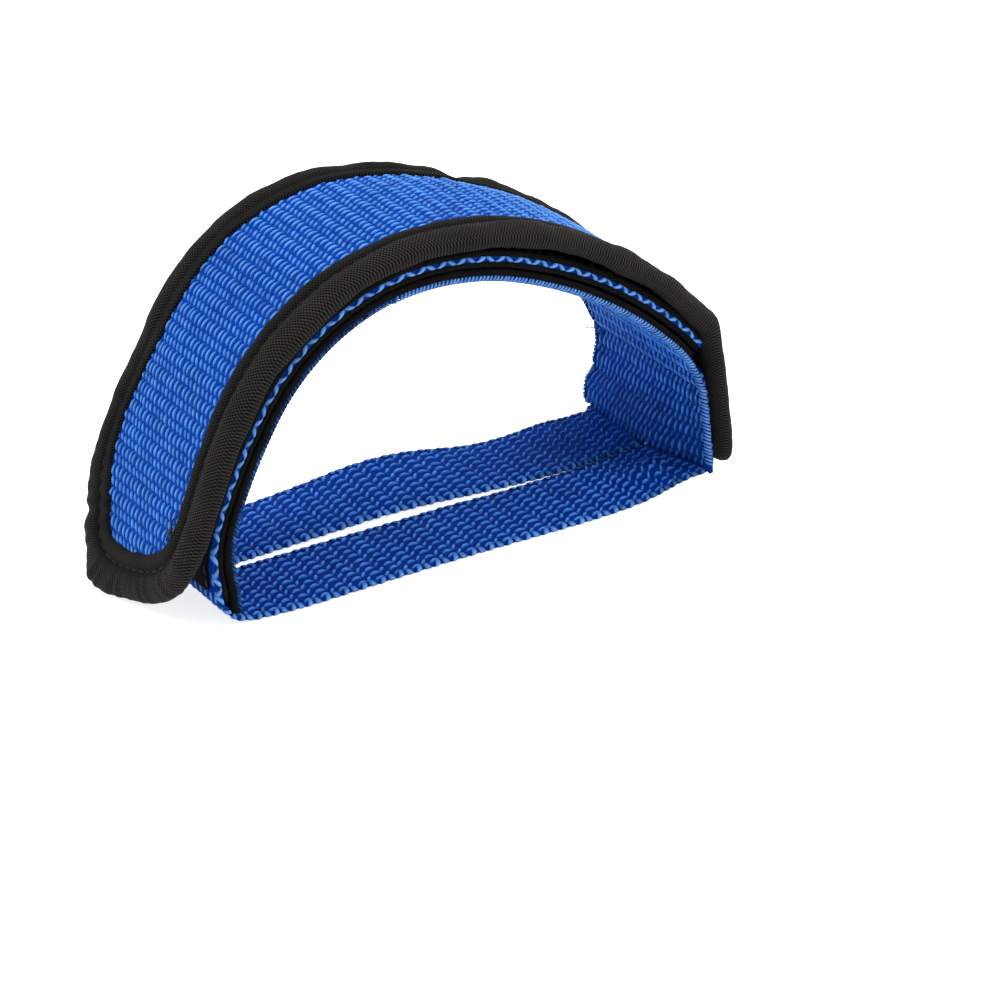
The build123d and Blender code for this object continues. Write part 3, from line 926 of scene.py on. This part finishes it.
# %% The tapes of the inner band and of the wrap
HOOK_RISE = 0.6
LOOP_RISE = 3.6


def tape(name, node, line, s_range, outs, seed, lie=as_cut):
    """A slab of tape with a rough nap on both faces."""
    made = Piece(name, settle)
    slab(made, line, s_range, (-TAPE_HALF, TAPE_HALF), outs, step=0.9, columns=28, lie=lie, rough=0.07,
         chance=np.random.default_rng(seed), box=(0, 0, 1, 1), lift=0.5)
    made = made.finish(black_tape, "black_tape")
    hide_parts(node)
    return made


band_tape = tape("inner_band_loop_pile", "inner_band_loop_tape", arch,
                 (0.8, TAPE_STOP), (WEBBING - 0.1, BAND_TAPE_OUT), 31)
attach(band_tape, "root")
wrap_hook = tape("wrap_hook_pile", "wrap_hook_tape", wrap_line,
                 (HOOK_RISE, wrap_line.length - 0.5), (WRAP_HOOK_IN, WRAP_IN + 0.1), 32)
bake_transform(wrap_hook)


def narrowing(along, across, out):
    """The loop tape's front edge runs in a little towards its cut lower end."""
    run_in = 3.2 * (1 - smooth(along, LOOP_RISE - 2, 22)) * (1 - smooth(across, -TAPE_HALF, -6))
    return along, across + run_in, out


wrap_loop = tape("wrap_loop_pile", "wrap_loop_tape", wrap_line,
                 (LOOP_RISE, wrap_line.length - 1.0), (WRAP_OUT - 0.1, WRAP_TAPE_OUT), 33, lie=narrowing)
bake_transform(wrap_loop)

# %% [markdown]
# The flap is the part that everyone sees. It is not quite even: its edges wander, the rear edge
# droops over the layers below, and the tip is cut on a slant and stands off a little.
# A short table gives the outer edge and the border between binding and webbing, all the way round.

# %% The flap's outline
# Each row is the outer edge (along, across) and the border (along, across).
TIP_EDGE = [
    (45.0, -27.6, 45.0, -17.7), (36.0, -27.8, 36.5, -17.9), (29.5, -28.0, 30.5, -18.1),
    (23.0, -28.2, 25.5, -18.4), (17.6, -27.0, 21.5, -17.9), (12.6, -24.0, 18.9, -15.0),
    (8.0, -18.8, 17.0, -11.2), (4.8, -12.2, 15.6, -7.4), (3.2, -5.5, 14.3, -3.0),
    (1.6, 1.0, 13.2, 1.0), (0.4, 6.8, 12.9, 4.2), (0.3, 11.4, 13.5, 7.0),
    (2.2, 15.2, 14.8, 8.6), (5.2, 18.2, 16.2, 9.4), (8.8, 19.8, 17.7, 9.8),
    (12.4, 20.3, 19.0, 10.1), (15.2, 19.8, 20.1, 10.6), (17.4, 20.4, 21.6, 11.8),
    (21.0, 22.4, 24.0, 13.7), (26.0, 23.5, 27.5, 15.3)]
# Along the rear edge each row is along, outer edge, border and how far the edge droops.
REAR_EDGE = np.array([
    (32, 23.7, 16.2, 0.4), (40, 24.2, 16.7, 1.0), (50, 24.7, 16.5, 1.7), (60, 25.1, 16.1, 1.7),
    (70, 25.8, 16.9, 1.2), (80, 26.5, 17.9, 0.7), (90, 27.5, 18.8, 0.1), (100, 27.2, 19.0, 0.2),
    (115, 27.3, 19.0, 0.3), (125, 26.4, 19.0, 0.9), (135, 26.0, 18.4, 1.5), (147, 25.5, 16.5, 2.0),
    (154, 24.2, 15.2, 3.0), (162, 25.0, 16.0, 2.2), (172, 26.2, 16.8, 1.4), (185, 27.0, 17.0, 0.8),
    (205, 27.5, 17.0, 0.0), (238, 27.5, 17.0, 0.0)])
flap_length = flap_line.length
LAP = 10.5
end = flap_length + 2.0
FOOT_EDGE = [
    (end, 0.0, end - 9.0, 0.0), (end, -15.0, end - 9.0, -11.0), (end, -22.5, end - 9.0, -15.0),
    (end - 0.8, -25.5, end - 9.2, -16.6), (end - 3.0, -27.2, end - 10.0, -17.0)]
FRONT_EDGE = [(s, -27.5, s, y) for s, y in (
    (236, -17.0), (215, -17.0), (190, -17.0), (165, -16.6), (150, -16.2), (135, -16.4), (120, -17.0),
    (105, -17.2), (90, -16.9), (75, -16.8), (60, -17.1))]
rear_edge = [(s, outer, s, border) for s, outer, border, droop in REAR_EDGE]
foot_behind = [(s, -y, bs, -by) for s, y, bs, by in reversed(FOOT_EDGE)]
edge_table = FOOT_EDGE + FRONT_EDGE + TIP_EDGE + rear_edge + foot_behind


def soft_curve(table, step, soften):
    """Places a step apart along a table of corners, with the corners softened."""
    table = np.asarray(table, float)
    chords = np.hypot(*np.diff(table[:, :2], axis=0).T)
    length = np.concatenate([[0], np.cumsum(chords)])
    places = np.linspace(0, length[-1], int(length[-1] / step) + 1)
    fine = np.stack([np.interp(places, length, column) for column in table.T], -1)
    reach = int(3 * soften / step)
    weights = np.exp(-0.5 * (np.arange(-reach, reach + 1) * step / soften) ** 2)
    weights = weights / weights.sum()
    before = 2 * fine[0] - fine[reach:0:-1]
    after = 2 * fine[-1] - fine[-2:-reach - 2:-1]
    padded = np.vstack([before, fine, after])
    return places, np.stack([np.convolve(column, weights, mode="valid") for column in padded.T], -1)


edge_d, edge_curve = soft_curve(edge_table, 0.8, 2.0)
outer_edge, border = edge_curve[:, :2], edge_curve[:, 2:]


def at_depth(depth):
    """The closed curve at this depth under the binding. 0 is the outer edge and LAP the border."""
    return outer_edge + (border - outer_edge) * depth / LAP


def inside(curve, s, y):
    """Whether each place lies inside a closed curve, by counting crossings."""
    s, y = np.asarray(s, float)[..., None], np.asarray(y, float)[..., None]
    a, b = curve, np.roll(curve, -1, axis=0)
    rise = np.where(np.abs(b[:, 1] - a[:, 1]) < 1e-9, 1e-9, b[:, 1] - a[:, 1])
    crosses = (a[:, 1] > y) != (b[:, 1] > y)
    return (crosses & (s < a[:, 0] + (y - a[:, 1]) * (b[:, 0] - a[:, 0]) / rise)).sum(-1) % 2 == 1


def tip_start(depth):
    """Where a layer that stops at this depth starts, as a function of the place across."""
    curve = at_depth(depth)
    places = np.arange(-2.0, 60.0, 0.25)

    def start(across):
        outside = ~inside(curve, places, np.full(len(places), across))
        return float(places[outside].max()) if outside.any() else 0.0
    return start


# %% The flap's lie
TIP_KICK = 3.2
CROWN_RISE = 0.5


def flap_lie(along, across, out):
    """The tip stands off, the rear edge droops, and the right shoulder sits closer."""
    flare = mix(4.0, 4.1, smooth(across, -20, 15)) * (1 - smooth(along, -1, 30))
    kick = TIP_KICK * (1 - smooth(along, -1, 8)) * smooth(across, -7, 5) * (1 - smooth(across, 13, 21))
    droop = np.interp(along, REAR_EDGE[:, 0], REAR_EDGE[:, 3]) * smooth(across, 6, 25) * smooth(along, 24, 34)
    closer = 1.1 * smooth(along, 150, 190) + 0.8 * bump(along, 206, 16) - 0.6 * smooth(along, 214, 234)
    crown = CROWN_RISE * (1 - (across / HALF_FLAP) ** 2) * smooth(along, 5, 40)
    crown = crown * (1 - smooth(along, 190, 225))
    return along, across, out + flare + kick - droop - closer + crown


# %% The flap's webbing
chance = np.random.default_rng(41)
flap = Piece("flap_woven")
slab(flap, flap_line, (tip_start(6.5), flap_length - 3.0), (-HALF_FLAP + 8.0, HALF_FLAP - 8.0),
     (FLAP_WEB_IN, FLAP_WEB_OUT - 0.42), step=0.65, columns=17, rib=0.08, lie=flap_lie, lift=0.03)
under_lap = at_depth(LAP - 1.3)
spots = weave(chance, (6.0, flap_length - 4.0), (-HALF_FLAP + 7.4, HALF_FLAP - 7.4), FINE_YARN,
              tall=0.61, low=0.49, bow=0.54, wide=(3.5, 1.0), slim=(2.55, 1.1, 0.58),
              keep=lambda s, y: inside(under_lap, s, y))
lay_floats(flap, flap_line, spots, FLAP_WEB_OUT - 0.5, 1, lie=flap_lie, box=(0, 0, 1, 0.94), peak=0.1)
flap_webbing = flap.finish(blue_yarn, "blue_webbing")
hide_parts("flap_webbing", "flap_foot_webbing")
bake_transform(flap_webbing)

# %% [markdown]
# The hook side is thousands of stiff little hooks. Each one here is a leaning spike of a few faces,
# which is enough to catch the light as a bristly field when the flap is open.

# %% The flap's hook tape
HOOK_HEIGHT = 0.85
HOOK_HALF = 0.24
HOOK_PITCH = 1.15


def bristles(piece, line, s, y, level, chance, lie, box):
    """Small leaning spikes on the underside, one at each place."""
    corner = np.array([(-1, -1), (1, -1), (1, 1), (-1, 1), (0, 0)]) * HOOK_HALF
    high = np.array([0, 0, 0, 0, 1.0])
    lean = chance.normal(0, 0.3, (len(s), 2)) + (0.35, 0)
    laid = lie(s[:, None] + corner[None, :, 0] + lean[:, :1] * high,
               y[:, None] + corner[None, :, 1] + lean[:, 1:] * high,
               level - HOOK_HEIGHT * (high[None] * chance.normal(1, 0.15, len(s))[:, None]))
    sides = np.array([(4, 1, 0), (4, 2, 1), (4, 3, 2), (4, 0, 3)])
    base = np.array([(0, 1, 2, 3)])
    local = np.array([(0, 0), (1, 0), (1, 1), (0, 1), (0.5, 0.5)])[None]
    piece.add(place(line, *laid), [sides, base], mix(0.2, 1.0, high), chance.normal(0, 0.5, len(s)),
              np.stack(laid, -1), cells(len(s), local, box), tucked=(1,))


chance = np.random.default_rng(42)
hook = Piece("flap_hook_pile")
slab(hook, flap_line, (tip_start(5.0), flap_length - 3.0), (-HALF_FLAP + 6.0, HALF_FLAP - 6.0),
     (FLAP_HOOK_IN, FLAP_WEB_IN + 0.1), step=0.9, columns=21, rough=0.03, chance=chance,
     lie=flap_lie, lift=0.5, box=(0, 0.5, 1, 1))
rows_along = np.arange(8, flap_length - 34, HOOK_PITCH)
rows_across = np.arange(-18, 18, HOOK_PITCH)
grid = np.stack(np.meshgrid(rows_along, rows_across), -1).reshape(-1, 2)
grid = grid + chance.normal(0, 0.12, grid.shape)
s, y = grid[inside(at_depth(LAP + 0.3), grid[:, 0], grid[:, 1])].T
bristles(hook, flap_line, s, y, FLAP_HOOK_IN + 0.1, chance, flap_lie, (0, 0, 1, 0.5))
flap_hook = hook.finish(black_tape, "black_tape")
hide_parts("flap_hook_tape", "flap_foot_hook_tape")
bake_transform(flap_hook)

# %% [markdown]
# The binding is a ribbed tape folded over the flap's edge and stitched through. Inside the stitch
# line it lies flat, and outside it puffs into a soft roll that puckers where it turns the tip.
# The roll is a section swept round the outline, with the puckers and wobbles added as it goes.

# %% The binding's finish
RIB = 0.85
CROSS_RIB = 1.05


def binding_finish(name, dark, light):
    """Two sets of fine slanted ribs that cross, with a little fuzz over them."""
    made, tree, shader = new_finish(name)
    grain = stored(tree, "grain", "Vector")
    parts = add(tree, "SeparateXYZ", {"Vector": grain}).outputs
    swing = number(tree, "MULTIPLY", noise(tree, grain, 0.35, 2.0), 1.4)
    pitch = number(tree, "MULTIPLY_ADD", parts["X"], 2 * math.pi / RIB, swing)
    weft = number(tree, "MULTIPLY", parts["Y"], 2 * math.pi / CROSS_RIB)
    left = number(tree, "SINE", number(tree, "ADD", pitch, weft))
    right = number(tree, "SINE", number(tree, "SUBTRACT", pitch, weft))
    ribs = number(tree, "MULTIPLY_ADD", number(tree, "MULTIPLY_ADD", left, 0.75, right), 0.4, 0.38)
    fuzz = number(tree, "MULTIPLY_ADD", noise(tree, grain, 3.2, 3.0), 0.5, -0.25)
    both = number(tree, "ADD", ribs, fuzz, limit=True)
    shade = number(tree, "MULTIPLY", both, stored(tree, "lift"))
    colour = ramp(tree, shade, [(0.0, dark), (0.9, light)])
    tinted(tree, shader, number(tree, "MULTIPLY_ADD", noise(tree, grain, 0.07, 2.0), 0.8, 0.6), colour)
    tree.links.new(remap(tree, both, 0.0, 1.0, 0.85, 0.62), shader.inputs["Roughness"])
    relief(tree, shader, both, 0.6, 0.00018)
    shader.inputs["Specular IOR Level"].default_value = 0.08
    return made


black_binding = binding_finish("black_binding_ribs", (0.0005, 0.0005, 0.0005), (0.033, 0.031, 0.029))

# %% The binding's section
# Each corner is (in from the outer edge, out from the flap's inner face).
SECTION = np.array([
    (10.5, 3.3), (10.45, 4.1), (9.9, 4.38), (8.7, 4.42), (7.6, 4.25), (6.95, 3.85), (6.4, 4.2),
    (5.7, 4.8), (4.6, 5.2), (3.3, 5.25), (1.9, 4.9), (0.75, 4.25), (0.0, 3.3), (-0.25, 2.2),
    (0.0, 1.05), (0.75, 0.15), (1.9, -0.35), (3.3, -0.55), (4.7, -0.5), (5.9, -0.3), (6.5, 0.05),
    (6.95, 0.3), (7.6, 0.15), (8.7, -0.05), (9.9, 0.0), (10.45, 0.25), (10.5, 1.0)])
GROOVE = 6.95


def sway(d, seed, waves):
    """A smooth wander made of a few sines with seeded phases."""
    luck = np.random.default_rng(seed)
    return sum(size * np.sin(2 * np.pi * d / length + luck.uniform(0, 6.28)) for length, size in waves)


# %% Sweep the binding
MIDDLE_OUT = 2.2
d = edge_d[:, None]
s, y = outer_edge[:, :1], outer_edge[:, 1:]
q, n = SECTION.T
roll = smooth(-q, -GROOVE, -4.5)


def near(place_along, place_across, reach):
    """1 at a place on the outer edge, and 0 beyond the reach from it."""
    return bump(np.hypot(s - place_along, y - place_across), 0, reach)


at_tip = 1 - smooth(s, 8, 40)
at_foot = smooth(s, 205, 230)
behind = smooth(y, 8, 20) * smooth(s, 24, 40)
crease = 1.3 * near(15.2, 19.2, 3.0) + 0.6 * near(154, 24.2, 5.0) + 0.5 * near(8.0, 18.6, 2.0)
puff = (1 + sway(d, 51, [(31, 0.07), (17, 0.05), (9.3, 0.03)])) * (1 - 0.26 * at_foot) - 0.38 * crease
pucker = sway(d, 52, [(4.6, 0.13), (3.3, 0.1)]) * (0.2 + 0.9 * at_tip)
wobble = sway(d, 53, [(46, 0.3), (23, 0.18)]) * (1 - 0.6 * smooth(y, 8, 20))
lap_wobble = sway(d, 54, [(37, 0.2), (12, 0.12)])
width = np.hypot(*(border - outer_edge).T)[:, None]
toward = (border - outer_edge) / width
inward = q * width / LAP - wobble * roll + lap_wobble * (q > 8.5)
out = MIDDLE_OUT + (n - MIDDLE_OUT) * (1 + (puff - 1) * roll) + pucker * roll
out = out + 0.32 * behind * (bump(q, GROOVE, 1.6) * (n > 2))
laid = flap_lie(s + inward * toward[:, :1], y + inward * toward[:, 1:], out)
rows, around = out.shape

# %% Shade and lay out the binding
# Painted shade: the binding is darker in the stitch groove, less so along the rear edge, and at the creases;
# it is also darker on the flat part inside the groove than on the roll.
lift = mix(mix(0.3, 0.75, behind), 1.0, smooth(np.abs(q - GROOVE), 0.3, 1.5))
lift *= mix(0.55, 1.0, roll) * (1 - 0.7 * np.clip(crease, 0, 1))
grain = np.stack(np.broadcast_arrays(d, q, 0.0), -1)
girth = np.concatenate([[0], np.cumsum(np.hypot(*np.diff(SECTION, axis=0, append=SECTION[:1]).T))])
layout = tube_layout(rows, around, (0, 0, 1, 1), girth=girth / girth[-1], lanes=12)
binding = Piece("flap_binding_roll")
binding.add(place(flap_line, *laid).reshape(1, -1, 3), tube_faces(rows, around), lift.reshape(1, -1),
            [0.0], grain.reshape(1, -1, 3), layout)
flap_binding = binding.finish(black_binding, "black_binding")
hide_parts("flap_binding", "flap_foot_binding")
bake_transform(flap_binding)

# %% [markdown]
# Stitches are short floats of twisted thread. They lie in the groove of the binding, along the
# tapes, and in two rows across the sewn end. The binding's thread is nearly black and the
# webbing's is dark blue, so both only show as broken lines. Three knots and one loose end are left
# as the sewing machine left them.

# %% The thread's finish
TWIST = 0.45


def thread_finish(name, dark, light):
    """Thin plies that wind round the thread."""
    made, tree, shader = new_finish(name)
    parts = add(tree, "SeparateXYZ", {"Vector": stored(tree, "grain", "Vector")}).outputs
    slant = number(tree, "ADD", parts["X"], parts["Y"])
    twist = number(tree, "SINE", number(tree, "MULTIPLY", slant, 2 * math.pi / TWIST))
    level = number(tree, "MULTIPLY_ADD", twist, 0.3, 0.5)
    colour = ramp(tree, number(tree, "MULTIPLY", level, stored(tree, "lift")), [(0.0, dark), (0.8, light)])
    tree.links.new(colour.outputs["Color"], shader.inputs["Base Color"])
    relief(tree, shader, level, 0.5, 0.0001)
    shader.inputs["Roughness"].default_value = 0.6
    shader.inputs["Specular IOR Level"].default_value = 0.25
    return made


brown_thread = thread_finish("brown_black_thread", (0.001, 0.0008, 0.0006), (0.018, 0.012, 0.009))
blue_thread = thread_finish("dark_blue_thread", (0.003, 0.03, 0.17), (0.018, 0.11, 0.46))

# %% Stitches along a curve
STITCH = 2.3
STITCH_PITCH = 3.2
THREAD = 0.5
THREAD_RISE = 0.3
LOOK_AHEAD = 0.5


def stitch(piece, line, curve, level, side, chance, lie, box):
    """Floats of thread, a pitch apart along a curve of (along, across)."""
    curve = np.asarray(curve, float)
    length = np.concatenate([[0], np.cumsum(np.hypot(*np.diff(curve, axis=0).T))])
    middle = np.arange(STITCH_PITCH / 2, length[-1] - STITCH_PITCH / 2 + 0.01, STITCH_PITCH)
    s, y = (np.interp(middle, length, column) for column in curve.T)
    next_s, next_y = (np.interp(middle + LOOK_AHEAD, length, column) for column in curve.T)
    tone = chance.normal(0, 0.3, len(middle))
    spots = np.broadcast_arrays(
        s, y, STITCH, THREAD, THREAD_RISE, tone, np.arctan2(next_y - y, next_s - s), 0.0)
    lay_floats(piece, line, spots, level, side, lie=lie, box=box)


def stitch_row(piece, line, stretch, y, level, side, chance, lie, box):
    """One row of stitches that keeps to one place across."""
    stitch(piece, line, [(stretch[0], y), (stretch[1], y)], level, side, chance, lie, box)


# %% Knots and loose ends
SIDES = 6


def thread_end(piece, line, path, radius, lie, low, high):
    """A loose round thread through a few places (along, across, out)."""
    path = np.array(path, float)
    share = np.linspace(0, len(path) - 1, 6 * len(path))
    path = np.stack([np.interp(share, np.arange(len(path)), column) for column in path.T], -1)
    for turn in range(3):
        path[1:-1] = (path[:-2] + 2 * path[1:-1] + path[2:]) / 4
    centre = place(line, *lie(*path.T))
    heading = np.gradient(centre, axis=0)
    heading = heading / np.linalg.norm(heading, axis=1, keepdims=True)
    side = np.cross(heading, (0.3, 0.2, 1.0))
    side = side / np.linalg.norm(side, axis=1, keepdims=True)
    top = np.cross(heading, side)
    angle = np.arange(SIDES)[:, None] * math.pi / 3
    ring = centre[:, None] + radius * (side[:, None] * np.cos(angle) + top[:, None] * np.sin(angle))
    rows = len(centre)
    step = np.arange(rows)[:, None]
    grain = np.stack(np.broadcast_arrays(step * 0.4, angle.T * 0.1, 0.0), -1)
    piece.add(ring.reshape(1, -1, 3), tube_faces(rows, SIDES), 1.0, [0.0], grain.reshape(1, -1, 3),
              tube_layout(rows, SIDES, (0, low, 1, high)))


# %% Stitches of the binding
chance = np.random.default_rng(61)
piece = Piece("flap_binding_stitches")
groove_curve = at_depth(GROOVE)
stitch(piece, flap_line, groove_curve, 3.92, 1, chance, flap_lie, (0, 0, 1, 0.4))
stitch(piece, flap_line, groove_curve, 0.26, -1, chance, flap_lie, (0, 0.4, 1, 0.8))
TIP_KNOT = [(24.8, -18.9, 4.3), (23.8, -18.0, 4.7), (24.6, -17.4, 4.6), (25.5, -18.0, 4.8),
            (24.7, -18.5, 5.1), (24.1, -17.8, 4.9)]
KNOT_TAILS = [[(24.2, -18.0, 4.8), (23.2, -17.2, 4.7), (22.2, -17.0, 4.4)],
              [(25.2, -18.0, 4.8), (26.6, -17.4, 4.8), (27.6, -17.3, 4.5)]]
thread_end(piece, flap_line, TIP_KNOT, 0.4, flap_lie, 0.8, 0.85)
thread_end(piece, flap_line, KNOT_TAILS[0], 0.22, flap_lie, 0.85, 0.9)
thread_end(piece, flap_line, KNOT_TAILS[1], 0.22, flap_lie, 0.9, 0.95)
made = piece.finish(brown_thread, "thread")
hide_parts("flap_binding_stitching", "flap_foot_binding_stitching")
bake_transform(made)

# %% Stitches of the tapes
TAPE_ROW = TAPE_HALF - 2.0
STRAP_ROW = STRAP_GAP / 2 + 2.0
piece = Piece("inner_band_stitches", settle)
for row, y in enumerate((-TAPE_ROW, TAPE_ROW)):
    stitch_row(piece, arch, (1.5, arch.length - 34), y, -0.02, -1, chance, band_lie,
               (0, row / 2, 1, (row + 1) / 2))
made = piece.finish(blue_thread, "thread")
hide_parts("inner_band_stitching")
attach(made, "root")

piece = Piece("wrap_stitches", settle)
for row, y in enumerate((-TAPE_ROW, -STRAP_ROW, STRAP_ROW, TAPE_ROW)):
    stitch_row(piece, wrap_line, (LOOP_RISE + 1, wrap_line.length - 2), y, WRAP_TAPE_OUT, 1, chance, as_cut,
               (0, row / 4, 1, (row + 1) / 4))
made = piece.finish(brown_thread, "thread")
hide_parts("wrap_stitching")
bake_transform(made)

# %% Stitches of the sewn end, inside
BOX_HALF = HALF_BAND - 4.5
ROW_KNOT = np.array([(-0.6, 23.2, 0.2), (0.5, 23.9, -0.3), (0.9, 23.0, -0.5), (-0.2, 22.6, -0.4),
                     (-0.6, 23.6, -0.2), (0.4, 24.4, 0.4)])
LOOSE_END = np.array([(1.6, 24.0, 0.3), (2.2, 25.2, -0.2), (2.6, 26.6, -0.2), (3.6, 28.0, 0.2)])
piece = Piece("sewn_box_inner_stitches", settle)
for order, row in enumerate(band_rows):
    stitch(piece, arch, [(row, -BOX_HALF), (row, BOX_HALF + 1)], 0.22, -1, chance, band_lie,
           (0, order / 5, 1, (order + 1) / 5))
    thread_end(piece, arch, ROW_KNOT + (row, 0, 0), 0.34, band_lie, 0.4 + order / 10, 0.5 + order / 10)
for order, y in enumerate((-BOX_HALF, BOX_HALF)):
    stitch_row(piece, arch, band_rows, y, -0.06, -1, chance, band_lie,
               (0, 0.6 + order / 10, 1, 0.7 + order / 10))
thread_end(piece, arch, LOOSE_END + (band_rows[0], 0, 0), 0.13, as_cut, 0.8, 0.9)
made = piece.finish(blue_thread, "thread")
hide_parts("sewn_box_inner_stitching")
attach(made, "root")

# %% Stitches of the sewn end, outside
FOOT_ROW_RISES = (22.0, 12.5)
FOOT_HALF = HALF_FLAP - LAP - 2.25
piece = Piece("sewn_box_outer_stitches")
for order, rise in enumerate(FOOT_ROW_RISES):
    row = flap_length - (rise - FOOT_LOW) / math.cos(LEAN)
    stitch(piece, flap_line, [(row, -FOOT_HALF), (row, FOOT_HALF + 1)], FLAP_WEB_OUT + 0.1, 1, chance,
           flap_lie, (0, order / 2, 1, (order + 1) / 2))
made = piece.finish(blue_thread, "thread")
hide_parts("sewn_box_outer_stitching")
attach(made, "root")

# %% [markdown]
# The room is as plain as can be: a white floor that keeps a soft shadow, an even sky and three
# broad lamps. Floor and sky are plain white to the lens, in a gloss or through something clear,
# while the light that they shed on the strap has a level of its own. The lens is long, as for a
# product picture.

# %% Floor and sky
WHITE = (1, 1, 1, 1)


def backdrop(owner, output_kind, lighting, seen):
    """A backdrop that lights the strap one way and is seen another way."""
    owner.use_nodes = True
    tree = owner.node_tree
    tree.nodes.clear()
    rays = add(tree, "LightPath").outputs
    direct = number(tree, "MAXIMUM", rays["Is Camera Ray"], rays["Is Transmission Ray"])
    direct = number(tree, "MAXIMUM", direct, rays["Is Glossy Ray"])
    shown = add(tree, "MixShader", {0: direct, 1: lighting(tree), 2: seen(tree)})
    output = tree.nodes.new(output_kind)
    tree.links.new(shown.outputs[0], output.inputs["Surface"])


def paper(tree):
    """The floor as the strap's light meets it."""
    return add(tree, "BsdfDiffuse", {"Color": (0.85, 0.85, 0.85, 1)}).outputs[0]


def glowing_paper(tree):
    """The same paper, lifted to white, which still darkens under the strap."""
    glow = add(tree, "Emission", {"Color": WHITE, "Strength": 0.78})
    return add(tree, "AddShader", {0: paper(tree), 1: glow.outputs[0]}).outputs[0]


def sky(strength):
    """An even white sky of this strength."""
    return lambda tree: add(tree, "Background", {"Color": WHITE, "Strength": strength}).outputs[0]


FLOOR_HALF = 6.0
corners = [(x * FLOOR_HALF, y * FLOOR_HALF, 0) for x, y in ((-1, -1), (1, -1), (1, 1), (-1, 1))]
floor_mesh = bpy.data.meshes.new("floor")
floor_mesh.from_pydata(corners, [], [(0, 1, 2, 3)])
floor_mesh.materials.append(bpy.data.materials.new("white_paper"))
backdrop(floor_mesh.materials[0], "ShaderNodeOutputMaterial", paper, glowing_paper)
floor = bpy.data.objects.new("floor", floor_mesh)
floor.location.z = -0.02 * MM
bpy.context.scene.collection.objects.link(floor)

world = bpy.data.worlds.new("studio")
bpy.context.scene.world = world
backdrop(world, "ShaderNodeOutputWorld", sky(0.72), sky(1.0))


# %% Lamps
def aimed(name, data, place_at, toward):
    """Puts a lamp or a camera in the scene, facing a direction."""
    made = bpy.data.objects.new(name, data)
    bpy.context.scene.collection.objects.link(made)
    made.location = place_at
    made.rotation_mode = "QUATERNION"
    made.rotation_quaternion = toward.to_track_quat("-Z", "Y")
    return made


LAMP_AIM = Vector((0, 0, 0.03))
for name, place_at, size, power in (
        ("key", (0.9, -0.7, 0.55), 0.5, 4.5),
        ("top", (0.0, 0.1, 1.3), 0.7, 7.0),
        ("side", (-1.0, 0.25, 0.8), 0.5, 3.5)):
    light = bpy.data.lights.new(name, "AREA")
    light.shape = "DISK"
    light.size = size
    light.energy = power
    aimed(name, light, place_at, LAMP_AIM - Vector(place_at))
    print("lamp", name, "watts", power)

# %% The camera
AZIMUTH = math.radians(-33.5)
ELEVATION = math.radians(28.3)
DISTANCE = 1.0
FOCUS = Vector((25.22 * MM, 0.0, -3.70 * MM))
level_back = math.cos(ELEVATION)
back = Vector((math.sin(AZIMUTH) * level_back, -math.cos(AZIMUTH) * level_back, math.sin(ELEVATION)))
lens = bpy.data.cameras.new("camera")
lens.sensor_width = 36.0
lens.lens = 141.3
lens.clip_start = 0.01
lens.clip_end = 100
camera = aimed("camera", lens, FOCUS + back * DISTANCE, -back)
bpy.context.scene.camera = camera
bpy.context.scene.view_settings.view_transform = "Standard"
print("camera at", [round(v, 3) for v in camera.location])
